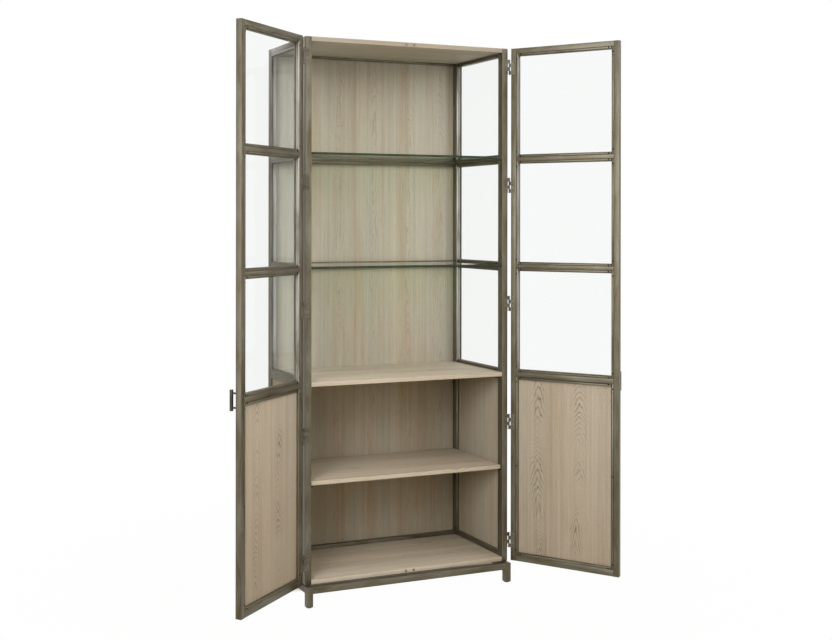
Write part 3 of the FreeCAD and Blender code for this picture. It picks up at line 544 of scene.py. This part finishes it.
def makeGlass(name, facts):
    recipe = Recipe(name)
    tint = (*facts["tint"], 1)
    waves = recipe.noise(recipe.place(), glassWaves["stretch"], detail=1)
    relief = recipe.bump(waves, glassWaves["relief"], glassWaves["reliefDepth"])
    clearness = {"Base Color": tint, "Roughness": 0.0, "IOR": facts["bending"]}
    clearness["Transmission Weight"] = 1.0
    glass = recipe.principled({"Normal": relief}, clearness)
    clear = recipe.add("BsdfTransparent", {"Color": tint}).outputs[0]
    lamps = recipe.add("LightPath").outputs["Is Shadow Ray"]
    shader = recipe.add("MixShader", {0: lamps, 1: glass, 2: clear})
    if "density" in facts:
        absorbing = {"Color": (*facts["absorbing"], 1), "Density": facts["density"]}
        body = recipe.add("VolumeAbsorption", absorbing)
        recipe.tree.links.new(body.outputs[0], recipe.output.inputs["Volume"])
    return recipe.finish(shader.outputs[0])


# The polished edge of a thick shelf, where one looks through the whole depth of the glass
def makeGlassEdge():
    recipe = Recipe("glass_edge")
    streaks = recipe.noise(recipe.place(), glassEdge["streaks"], detail=2)
    surface = {
        "Base Color": recipe.ramp(streaks, glassEdge["deep"]),
        "Roughness": recipe.ranged(streaks, *noiseSpan, *glassEdge["roughness"]),
    }
    return recipe.finish(recipe.principled(surface, {"Specular IOR Level": glassEdge["gloss"]}))


moulding = {
    "skin": (700, 700, 700), "relief": 0.2, "reliefDepth": 0.0002,
    "dust": (40, 40, 40), "dustSpan": (0.3, 0.75), "dustPaler": 1.9, "dustRoughness": 0.08,
}


def makeMoulded(name, colour, roughness):
    recipe = Recipe(name)
    skin = recipe.noise(recipe.place(), moulding["skin"], detail=2)
    dust = recipe.noise(recipe.place(), moulding["dust"], detail=3)
    dusty = tuple(part * moulding["dustPaler"] for part in colour)
    spread = moulding["dustRoughness"]
    surface = {
        "Base Color": recipe.ramp(dust, list(zip(moulding["dustSpan"], (colour, dusty)))),
        "Roughness": recipe.ranged(dust, *noiseSpan, roughness - spread, roughness + spread),
        "Normal": recipe.bump(skin, moulding["relief"], moulding["reliefDepth"]),
    }
    return recipe.finish(recipe.principled(surface, {}))


tubeBronze = makeMetal("brushed_bronze", bronze, True)
plateBronze = makeMetal("brushed_bronze_plate", bronze, False)
beadSheenMetal = makeMetal("brushed_bead_painted_sheen", paleBeadSheen, True)
screwMetal = makeMetal("blackened_screw", screwBlack, False)
knuckleMetal = makeMetal("dark_knuckle", knuckleBronze, False)
gripMetal = makeMetal("dark_grip_bronze", handleBronze, False)
catchMetal = makeMetal("plated_catch", magnetMetal, False)
plainOak = makeOak("limed_oak_plain", plainFigure)
litShelfOak = makeOak("limed_oak_shelf_painted_light", litShelfFigure)
figuredOak = makeOak("limed_oak_figured", archedFigure)
paneGlass = makeGlass("clear_pane", thinGlass)
shelfGlass = makeGlass("polished_shelf_glass", thickGlass)
shelfEdge = makeGlassEdge()
blackPlastic = makeMoulded("black_plastic", (0.012, 0.012, 0.012), 0.5)
blackRubber = makeMoulded("black_rubber", (0.016, 0.015, 0.014), 0.75)
print("materials ready")

tubes = {"rounding": 0.0015, "endRounding": 0.0004, "grainStep": (1.37, 0.61)}
tubeNodes = [
    "front_post_left", "front_post_right", "rear_post_left", "rear_post_right",
    "side_rails_left", "side_rails_right", "rear_rails", "base_legs", "base_rails",
    "left_door_frame", "right_door_frame",
]

for node in tubeNodes:
    whole = bmesh.new()
    for number, (low, high) in enumerate(solidsOf(node)):
        part = easedBar(low, high, tubes["rounding"], tubes["endRounding"])
        layGrain(part, longestAxis(low, high), [number * step for step in tubes["grainStep"]])
        addTo(whole, part)
    placePiece(whole, node + "_tubes", node, tubeBronze)
print("tubes ready")

glazingSides = ["side_{0}_left", "side_{0}_right", "left_door_{0}", "right_door_{0}"]
beads = {
    "rounding": 0.0006, "endRounding": 0.0003, "slope": 0.0036, "railHeight": 0.015,
    "grainStep": (0.83, 0.37),
}
stops = {"width": 0.010, "rounding": 0.0008, "grainStep": 1.7}
panes = {"arris": 0.0006}
shelves = {"arris": 0.0012}


# one flat ring of bar round an opening, with mitred corners
def easedRing(low, high, width, rounding):
    size = high - low
    depthAxis = thinnestAxis(low, high)
    first, second = [i for i in range(3) if i != depthAxis]
    bm = bmesh.new()
    corners = []
    for u, v in ((0, 0), (1, 0), (1, 1), (0, 1)):
        place = low.copy()
        place[first] = high[first] if u else low[first]
        place[second] = high[second] if v else low[second]
        corners.append(bm.verts.new(place))
    sheet = bm.faces.new(corners)
    bm.normal_update()
    bmesh.ops.inset_region(
        bm, faces=[sheet], thickness=width, use_boundary=True, use_even_offset=True
    )
    bmesh.ops.delete(bm, geom=[sheet], context="FACES")
    ring = bmesh.ops.extrude_face_region(bm, geom=bm.faces[:])
    lift = Vector((0, 0, 0))
    lift[depthAxis] = size[depthAxis]
    bmesh.ops.translate(bm, verts=newVerts(ring), vec=lift)
    bmesh.ops.recalc_face_normals(bm, faces=bm.faces)
    # its square edges, not the mitre lines in its flat faces
    square = [edge for edge in bm.edges if edge.calc_face_angle(0) > sharpAngle]
    roundEdges(bm, square, rounding, 2)
    for face in bm.faces:
        face.smooth = not isFlat(face)
    return bm, depthAxis


# brushed along each side of a ring: its faces run along the nearer pair of sides
def layRingGrain(bm, low, high, depthAxis, shift):
    layer = bm.loops.layers.uv.get("grain") or bm.loops.layers.uv.new("grain")
    first, second = [i for i in range(3) if i != depthAxis]
    for face in bm.faces:
        middle = face.calc_center_median()
        toFirst = min(middle[first] - low[first], high[first] - middle[first])
        toSecond = min(middle[second] - low[second], high[second] - middle[second])
        along, across = (second, first) if toFirst < toSecond else (first, second)
        for loop in face.loops:
            place = loop.vert.co
            loop[layer].uv = (place[along] + shift, place[across] + place[depthAxis] + shift)


def buildStops(node):
    whole = bmesh.new()
    for number, (low, high) in enumerate(solidsOf(node)):
        part, depthAxis = easedRing(low, high, stops["width"], stops["rounding"])
        layRingGrain(part, low, high, depthAxis, number * stops["grainStep"])
        addTo(whole, part)
    placePiece(whole, node + "_rings", node, tubeBronze)


# Glazing beads with a slope towards their opening. They have the frame's finish, but upright
# ones beside glass are paler on their slopes: a painted sheen where those slopes catch the light.
def buildBeads(node, sheets):
    whole = bmesh.new()
    depthAxis = thinnestAxis(*sheets[0])
    woodTop = sheets[0][1].z
    for number, (low, high) in enumerate(solidsOf(node)):
        middle = (low + high) / 2
        axis = longestAxis(low, high)
        cross = next(i for i in range(3) if i not in (axis, depthAxis))
        sheet = min(sheets, key=lambda box: ((box[0] + box[1]) / 2 - middle).length)
        centre = (sheet[0] + sheet[1]) / 2
        way = Vector((0, 0, 0))
        way[cross] = math.copysign(1, centre[cross] - middle[cross])
        way[depthAxis] = math.copysign(1, middle[depthAxis] - centre[depthAxis])
        slope = (way, beads["slope"])
        rounding, endRounding = beads["rounding"], beads["endRounding"]
        part = easedBar(low, high, rounding, endRounding, segments=2, axis=axis, slope=slope)
        # painted sheen: the slopes of upright beads beside glass take the paler metal
        paintedSheen = axis == 2 and middle.z > woodTop + beads["railHeight"]
        for face in part.faces:
            outward = face.normal[depthAxis] * way[depthAxis]
            face.material_index = int(paintedSheen and outward < alongAxis)
        layGrain(part, axis, [number * step for step in beads["grainStep"]])
        addTo(whole, part)
    placePiece(whole, node + "_bars", node, tubeBronze, beadSheenMetal)


def buildPanes(node):
    whole = bmesh.new()
    for low, high in solidsOf(node):
        addTo(whole, easedBar(low, high, panes["arris"], panes["arris"], segments=1))
    placePiece(whole, node + "_glass", node, paneGlass)


for pattern in glazingSides:
    sheets = solidsOf(pattern.format("infill")) + solidsOf(pattern.format("panes"))
    buildStops(pattern.format("stops"))
    buildBeads(pattern.format("beads"), sheets)
    buildPanes(pattern.format("panes"))

for node in ("glass_shelf_lower", "glass_shelf_upper"):
    part = easedBar(*solidsOf(node)[0], shelves["arris"], shelves["arris"], segments=1)
    for face in part.faces:
        face.material_index = int(abs(face.normal.z) < 0.5)  # the upright faces and corners
    placePiece(part, node + "_glass", node, shelfGlass, shelfEdge)
print("glazing ready")

# the grain's way and the finish of each board
boardFinishes = {
    "top_panel": (0, plainOak), "bottom_panel": (0, litShelfOak), "fixed_shelf": (0, litShelfOak),
    "loose_shelf": (0, litShelfOak), "back_panel": (2, plainOak),
    "side_infill_left": (2, plainOak), "side_infill_right": (2, plainOak),
    "left_door_infill": (2, figuredOak), "right_door_infill": (2, figuredOak),
}
boards = {
    "rounding": 0.0010,
    "heart": 0.36,  # how far across a board its first heart line runs
    "leafStep": 11,  # each board shows other leaves of veneer
}

for number, (node, (axis, finish)) in enumerate(boardFinishes.items()):
    low, high = solidsOf(node)[0]
    cross = next(i for i in range(3) if i not in (axis, thinnestAxis(low, high)))
    firstHeart = low[cross] + boards["heart"] * (high[cross] - low[cross])
    leafMiddle = (number * boards["leafStep"] + 0.5) * oak["leafWidth"]
    part = easedBar(low, high, boards["rounding"], boards["rounding"], segments=2, axis=axis)
    layGrain(part, axis, (-low[axis], leafMiddle - firstHeart))
    placePiece(part, node + "_veneered", node, finish)
print("wood ready")

screws = {
    "sides": 12, "spread": 1.18,
    "shank": 0.62, "rim": 0.2, "crossReach": 0.62, "crossHalfWidth": 0.16,  # of the head's radius
    "beadProud": 0.0005, "hingeProud": 0.00008,
    "recess": 0.8,  # of the height that the head stands proud
    "turnStep": 0.83,
}


# One countersunk screw with a cross recess, its head's middle at the origin, pointing down.
def countersunkScrew(headRadius, length, proud):
    bm = bmesh.new()
    sinking = headRadius * (1 - screws["shank"])
    bmesh.ops.create_circle(bm, cap_ends=True, segments=screws["sides"], radius=headRadius)
    cap = bm.faces[:][0]
    if cap.normal.z < 0:
        cap.normal_flip()
    lower = newVerts(bmesh.ops.extrude_edge_only(bm, edges=bm.edges[:]))
    bmesh.ops.translate(bm, verts=lower, vec=(0, 0, -sinking))
    bmesh.ops.scale(bm, verts=lower, vec=(screws["shank"], screws["shank"], 1))
    lowerEdges = [e for e in bm.edges if all(v in lower for v in e.verts)]
    tip = newVerts(bmesh.ops.extrude_edge_only(bm, edges=lowerEdges))
    bmesh.ops.translate(bm, verts=tip, vec=(0, 0, sinking - length))
    bmesh.ops.contextual_create(bm, geom=[e for e in bm.edges if all(v in tip for v in e.verts)])
    bmesh.ops.inset_region(bm, faces=[cap], thickness=headRadius * screws["rim"])
    # the inset corners move to the outline of a cross, which then sinks
    reach = headRadius * screws["crossReach"]
    half = headRadius * screws["crossHalfWidth"]
    outline = []
    for quarter in range(4):
        turn = Matrix.Rotation(quarter * math.pi / 2, 4, "Z")
        arm = ((half, half, 0), (half, reach, 0), (-half, reach, 0))
        outline += [turn @ Vector(place) for place in arm]
    ring = sorted(cap.verts, key=lambda v: math.atan2(v.co.y, v.co.x))
    outline.sort(key=lambda place: math.atan2(place.y, place.x))
    for vert, place in zip(ring, outline):
        vert.co = place
    sunk = newVerts(bmesh.ops.extrude_face_region(bm, geom=[cap]))
    bmesh.ops.translate(bm, verts=sunk, vec=(0, 0, -proud * screws["recess"]))
    bmesh.ops.delete(bm, geom=[face for face in bm.faces if face is cap], context="FACES_ONLY")
    bmesh.ops.recalc_face_normals(bm, faces=bm.faces)
    for face in bm.faces:
        # the recess faces take the second material, which paints them dark: painted shade in the recess
        face.material_index = int(any(vert in sunk for vert in face.verts))
    return bm


# All screws of one node, their heads facing the given way while the door is shut and standing a
# little proud. Their recess takes the second material, black: on the bronze hinge screws a painted shade.
def buildScrews(node, facing, proud, material):
    facing = Vector(facing)
    axis = max(range(3), key=lambda i: abs(facing[i]))
    cross = next(i for i in range(3) if i != axis)
    whole = bmesh.new()
    for number, (low, high) in enumerate(solidsOf(node)):
        middle = (low + high) / 2
        out = -facing if axis == 0 and middle.x > middleX else facing
        head = middle.copy()
        head[axis] = high[axis] + proud if out[axis] > 0 else low[axis] - proud
        radius = (high[cross] - low[cross]) / 2
        length = high[axis] - low[axis] + proud
        part = countersunkScrew(radius * screws["spread"], length, proud)
        spin = Matrix.Rotation(number * screws["turnStep"], 4, "Z")
        aim = out.to_track_quat("Z", "Y").to_matrix().to_4x4()
        part.transform(Matrix.Translation(head) @ aim @ spin)
        addTo(whole, part)
    placePiece(whole, node + "_recessed", node, material, screwMetal)


buildScrews("side_bead_screws", (1, 0, 0), screws["beadProud"], screwMetal)
buildScrews("left_door_bead_screws", (0, 1, 0), screws["beadProud"], screwMetal)
buildScrews("right_door_bead_screws", (0, 1, 0), screws["beadProud"], screwMetal)
buildScrews("hinge_fixed_screws", (0, -1, 0), screws["hingeProud"], plateBronze)
buildScrews("left_door_hinge_screws", (0, 1, 0), screws["hingeProud"], plateBronze)
buildScrews("right_door_hinge_screws", (0, 1, 0), screws["hingeProud"], plateBronze)
print("screws ready")

hinges = {
    "plateStart": 0.0065, "plateFace": 0.0001, "plateBack": 0.0015, "plateEasing": 0.00001,
    "cornerRounding": 0.0025,
    "knuckles": 4, "knuckleRadius": 0.0030, "knuckleGap": 0.0003, "knuckleEasing": 0.0004,
    "bore": 0.00155, "bridgeStart": 1.2, "bridgeOverlap": 0.0005, "bridgeEasing": 0.0002,
    "pinRadius": 0.0015, "pinHeadRadius": 0.0026, "pinHeadHeight": 0.0012,
    "pinHeadShape": [(0, 0), (0.6, 0.12), (0.9, 0.45), (1, 1)],
}


def hingeLineNear(x):
    return min(hingeLines, key=lambda line: abs(line.x - x))


# a plate from the inner edge to the outer one, which has rounded corners
def leafPlate(inner, outer, low, high):
    left, right = sorted((inner, outer))
    lower = Vector((left, low.y, low.z))
    upper = Vector((right, high.y, high.z))
    plate = easedBar(lower, upper, hinges["plateEasing"], 0, segments=1, axis=2)
    corners = []
    for edge in plate.edges:
        first, second = edge.verts
        acrossPlate = abs(first.co.y - second.co.y) > 0.001
        atOuterEdge = abs(first.co.x - outer) < 0.0001
        if acrossPlate and atOuterEdge:
            corners.append(edge)
    roundEdges(plate, corners, hinges["cornerRounding"], 4)
    return plate


# The leaves of one node: each has a plate and every second knuckle, counted from the bottom,
# rolled round the pin.
def buildLeaves(node, firstKnuckle):
    whole = bmesh.new()
    radius, ease, bore = hinges["knuckleRadius"], hinges["knuckleEasing"], hinges["bore"]
    for low, high in solidsOf(node):
        line = hingeLineNear((low.x + high.x) / 2)
        toward = 1 if high.x - line.x > line.x - low.x else -1
        outer = high.x if toward > 0 else low.x
        inner = line.x + toward * hinges["plateStart"]
        # the fixed leaves lie behind the hinge line and the doors' leaves before it
        low.y, high.y = line.y + hinges["plateFace"], line.y + hinges["plateBack"]
        if firstKnuckle == 0:
            low.y, high.y = line.y - hinges["plateBack"], line.y - hinges["plateFace"]
        addTo(whole, leafPlate(inner, outer, low, high))
        pitch = (high.z - low.z) / hinges["knuckles"]
        height = pitch - hinges["knuckleGap"]
        profile = [
            (bore, 0), (radius - ease, 0), (radius, ease), (radius, height - ease),
            (radius - ease, height), (bore, height), (bore, 0),
        ]
        near = line.x + toward * bore * hinges["bridgeStart"]
        left, right = sorted((near, inner + toward * hinges["bridgeOverlap"]))
        easing = hinges["bridgeEasing"]
        for number in range(firstKnuckle, hinges["knuckles"], 2):
            bottom = low.z + pitch * number + hinges["knuckleGap"] / 2
            barrel = turned(profile, steps=20)
            barrel.transform(Matrix.Translation((line.x, line.y, bottom)))
            lower = Vector((left, low.y, bottom))
            upper = Vector((right, high.y, bottom + height))
            bridge = easedBar(lower, upper, easing, easing, segments=1, axis=2)
            for rolled in (barrel, bridge):
                for face in rolled.faces:
                    face.material_index = 1
                addTo(whole, rolled)
    placePiece(whole, node + "_rolled", node, plateBronze, knuckleMetal)


buildLeaves("hinge_fixed_leaves", 1)
buildLeaves("left_door_hinge_leaves", 0)
buildLeaves("right_door_hinge_leaves", 0)


def buildPins(node):
    whole = bmesh.new()
    shank, head, dome = hinges["pinRadius"], hinges["pinHeadRadius"], hinges["pinHeadHeight"]
    for low, high in solidsOf(node):
        length = high.z - low.z
        profile = [(head * out, dome * up) for out, up in hinges["pinHeadShape"]]
        profile.append((shank, dome))
        profile += [(radius, length - height) for radius, height in reversed(profile)]
        pin = turned(profile, steps=16)
        middle = (low + high) / 2
        pin.transform(Matrix.Translation((middle.x, middle.y, low.z)))
        addTo(whole, pin)
    placePiece(whole, node + "_domed", node, knuckleMetal)


buildPins("hinge_pins")
print("hinges ready")

handles = {
    "easing": 0.0009, "cornerRounding": 0.0010,
    "standoffRadius": 0.0035, "standoffSpacing": 0.050, "standoffSink": 0.0005, "collar": 0.0007,
    "studRadius": 0.0025, "studLength": 0.009, "studEasing": 0.0004,
}
toRear = Vector((0, 1, 0)).to_track_quat("Z", "Y").to_matrix().to_4x4()


# a square grip on two turned standoffs, whose studs go into the stile
def buildHandle(node):
    low, high = solidsOf(node)[0]
    gripRear = low.y + (high.x - low.x)
    gripEnd = Vector((high.x, gripRear, high.z))
    whole = easedBar(low, gripEnd, handles["easing"], handles["cornerRounding"], axis=2)
    middle = (low + high) / 2
    standing = high.y - handles["studLength"] - gripRear
    tip = standing + handles["studLength"]
    foot, stud = handles["standoffRadius"], handles["studRadius"]
    sink, collar, ease = handles["standoffSink"], handles["collar"], handles["studEasing"]
    profile = [
        (0, -sink), (foot, -sink), (foot, standing - collar), (foot + collar, standing),
        (stud, standing), (stud, tip - ease), (stud - ease, tip), (0, tip),
    ]
    for side in (-0.5, 0.5):
        standoff = turned(profile, steps=24)
        place = Vector((middle.x, gripRear, middle.z + side * handles["standoffSpacing"]))
        standoff.transform(Matrix.Translation(place) @ toRear)
        addTo(whole, standoff)
    placePiece(whole, node + "_grip", node, gripMetal)


buildHandle("left_door_handle")
buildHandle("right_door_handle")

catches = {"rim": 0.0009, "dish": 0.0005, "easing": 0.0003}


# round cup magnets: a plated rim round a face that lies a little deeper
def buildCatches(node):
    whole = bmesh.new()
    rim, dish, ease = catches["rim"], catches["dish"], catches["easing"]
    for low, high in solidsOf(node):
        radius = (high.x - low.x) / 2
        length = high.y - low.y
        profile = [
            (0, dish), (radius - rim, dish), (radius - rim, ease), (radius - rim + ease, 0),
            (radius - ease, 0), (radius, ease), (radius, length), (0, length),
        ]
        cup = turned(profile, steps=28)
        middle = (low + high) / 2
        cup.transform(Matrix.Translation((middle.x, low.y, middle.z)) @ toRear)
        addTo(whole, cup)
    placePiece(whole, node + "_cups", node, catchMetal)


buildCatches("catch_magnets")
print("handles and catches ready")

# these nodes keep their own shape
keptFinishes = {
    plateBronze: ["glass_shelf_ledges"],
    screwMetal: ["shelf_pegs", "back_panel_screws", "panel_screws", "base_bolts"],
    blackPlastic: ["leg_plugs", "leg_glides"],
    blackRubber: ["base_spacers"],
}
for material, nodes in keptFinishes.items():
    for node in nodes:
        finishNode(node, material)

floor = {
    "reach": 14.0, "colour": (0.54, 0.48, 0.40), "mottle": 1.01, "mottleStretch": (2, 2, 2),
    "glow": 0.985, "fades": (0.9, 2.2), "shadeFrom": 0.180, "shadeTo": 0.250,
}


# White where it is looked at, apart from a painted shadow region under the cabinet and a little past
# its right side, where the glow is taken away so that the floor's own lit shade shows.
def makeFloorMaterial():
    recipe = Recipe("studio_floor")
    place = recipe.place()
    mottle = recipe.noise(place, floor["mottleStretch"], detail=2)
    paler = tuple(part * floor["mottle"] for part in floor["colour"])
    pale = recipe.ramp(mottle, list(zip(noiseSpan, (floor["colour"], paler))))
    matt = recipe.add("BsdfDiffuse", {"Color": pale})
    light = recipe.add("Emission")
    paths = recipe.add("LightPath").outputs
    seen = recipe.calc("ADD", paths["Is Camera Ray"], paths["Is Glossy Ray"], clamp=True)
    seen = recipe.calc("ADD", seen, paths["Is Transmission Ray"], clamp=True)
    parts = recipe.add("SeparateXYZ", {"Vector": place}).outputs
    # painted shadow: a box under the cabinet, reaching past its right side, where the glow is taken away
    low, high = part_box("base_rails")
    inset = floor["shadeTo"] - floor["shadeFrom"]
    fromFront = recipe.ranged(parts["Y"], floor["shadeFrom"], floor["shadeTo"], 0, 1)
    fromRear = recipe.ranged(parts["Y"], high[1] - inset, high[1], 1, 0)
    fromLeft = recipe.ranged(parts["X"], low[0], low[0] + inset, 0, 1)
    fromRight = recipe.ranged(parts["X"], high[0] + inset, high[0] + 2 * inset, 1, 0)
    inDepth = recipe.calc("MULTIPLY", fromFront, fromRear)
    under = recipe.calc("MULTIPLY", inDepth, recipe.calc("MULTIPLY", fromLeft, fromRight))
    outsidePaintedShadow = recipe.ranged(under, 0, 1, 1.0, 0.0)
    centre = ((low[0] + high[0]) / 2, (low[1] + high[1]) / 2, 0)
    away = recipe.add("VectorMath", {0: place, 1: centre}, operation="DISTANCE").outputs["Value"]
    near = recipe.ranged(away, *floor["fades"], floor["glow"], 1.0)
    glow = recipe.calc("MULTIPLY", recipe.calc("MULTIPLY", seen, near), outsidePaintedShadow)
    mixed = recipe.add("MixShader", {0: glow, 1: matt.outputs[0], 2: light.outputs[0]})
    return recipe.finish(mixed.outputs[0])


def makeFloor():
    bm = bmesh.new()
    bmesh.ops.create_grid(bm, x_segments=1, y_segments=1, size=floor["reach"])
    mesh = bpy.data.meshes.new("studio_floor")
    bm.to_mesh(mesh)
    bm.free()
    piece = bpy.data.objects.new("studio_floor", mesh)
    scene.collection.objects.link(piece)
    mesh.materials.append(makeFloorMaterial())


makeFloor()

studio = {"ambient": 0.31, "warmth": (1.0, 0.73, 0.34), "lampColour": (0.97, 1.0, 1.07)}


# plain white where it is looked at, and a softer, slightly warm light from all round
def makeWorld():
    world = bpy.data.worlds.new("studio")
    scene.world = world
    world.use_nodes = True
    nodes = world.node_tree.nodes
    links = world.node_tree.links
    nodes.clear()
    output = nodes.new("ShaderNodeOutputWorld")
    mixed = nodes.new("ShaderNodeMixShader")
    ambient = nodes.new("ShaderNodeBackground")
    ambient.inputs["Strength"].default_value = studio["ambient"]
    ambient.inputs["Color"].default_value = (*studio["warmth"], 1)
    backdrop = nodes.new("ShaderNodeBackground")
    backdrop.inputs["Color"].default_value = (1, 1, 1, 1)
    paths = nodes.new("ShaderNodeLightPath")
    seen = paths.outputs["Is Camera Ray"]
    for kind in ("Is Glossy Ray", "Is Transmission Ray"):
        either = nodes.new("ShaderNodeMath")
        either.operation = "ADD"
        either.use_clamp = True
        links.new(seen, either.inputs[0])
        links.new(paths.outputs[kind], either.inputs[1])
        seen = either.outputs[0]
    links.new(seen, mixed.inputs[0])
    links.new(ambient.outputs[0], mixed.inputs[1])
    links.new(backdrop.outputs[0], mixed.inputs[2])
    links.new(mixed.outputs[0], output.inputs["Surface"])


makeWorld()

lamps = {
    "key": {"place": (-3.2, -3.3, 2.5), "aim": (0.45, 0.1, 1.4), "size": 2.2, "power": 136},
    "fill": {"place": (4.0, -2.8, 2.4), "aim": (0.2, 0.0, 1.0), "size": 2.6, "power": 80},
    "top": {"place": (0.2, -3.6, 3.6), "aim": (0.45, 0.2, 1.2), "size": 2.0, "power": 50},
    "back": {"place": (0.4, 3.4, 3.4), "aim": (0.4, 0.3, 1.2), "size": 2.4, "power": 45},
    # shows only as a sheen on metal and gloss
    "card": {
        "place": (-4.4, -1.7, 1.7), "aim": (0.9, -0.2, 1.3), "size": 3.2, "power": 56,
        "glossOnly": True,
    },
}


def makeLamp(name, facts):
    data = bpy.data.lights.new(name, "AREA")
    data.shape = "SQUARE"
    data.size = facts["size"]
    data.energy = facts["power"]
    data.color = studio["lampColour"]
    lamp = bpy.data.objects.new(name, data)
    scene.collection.objects.link(lamp)
    lamp.visible_camera = False
    lamp.visible_transmission = False
    lamp.visible_diffuse = "glossOnly" not in facts
    lamp.location = facts["place"]
    way = Vector(facts["aim"]) - Vector(facts["place"])
    lamp.rotation_euler = way.to_track_quat("-Z", "Y").to_euler()


for lampName, facts in lamps.items():
    makeLamp(lampName, facts)

view = {
    "place": (-1.6961, -4.0524, 1.4454),
    "yaw": 21.87,
    "pitch": -0.04,
    "roll": -0.06,
    "lens": 50.95,
    "sensor": 36.0,
    "shift": (0.149, -0.119),
}


def makeCamera():
    data = bpy.data.cameras.new("camera")
    data.sensor_width = view["sensor"]
    data.lens = view["lens"]
    data.shift_x, data.shift_y = view["shift"]
    camera = bpy.data.objects.new("camera", data)
    scene.collection.objects.link(camera)
    camera.location = view["place"]
    angles = (90 + view["pitch"], view["roll"], -view["yaw"])
    camera.rotation_euler = [math.radians(angle) for angle in angles]
    scene.camera = camera


makeCamera()
print("stage ready")
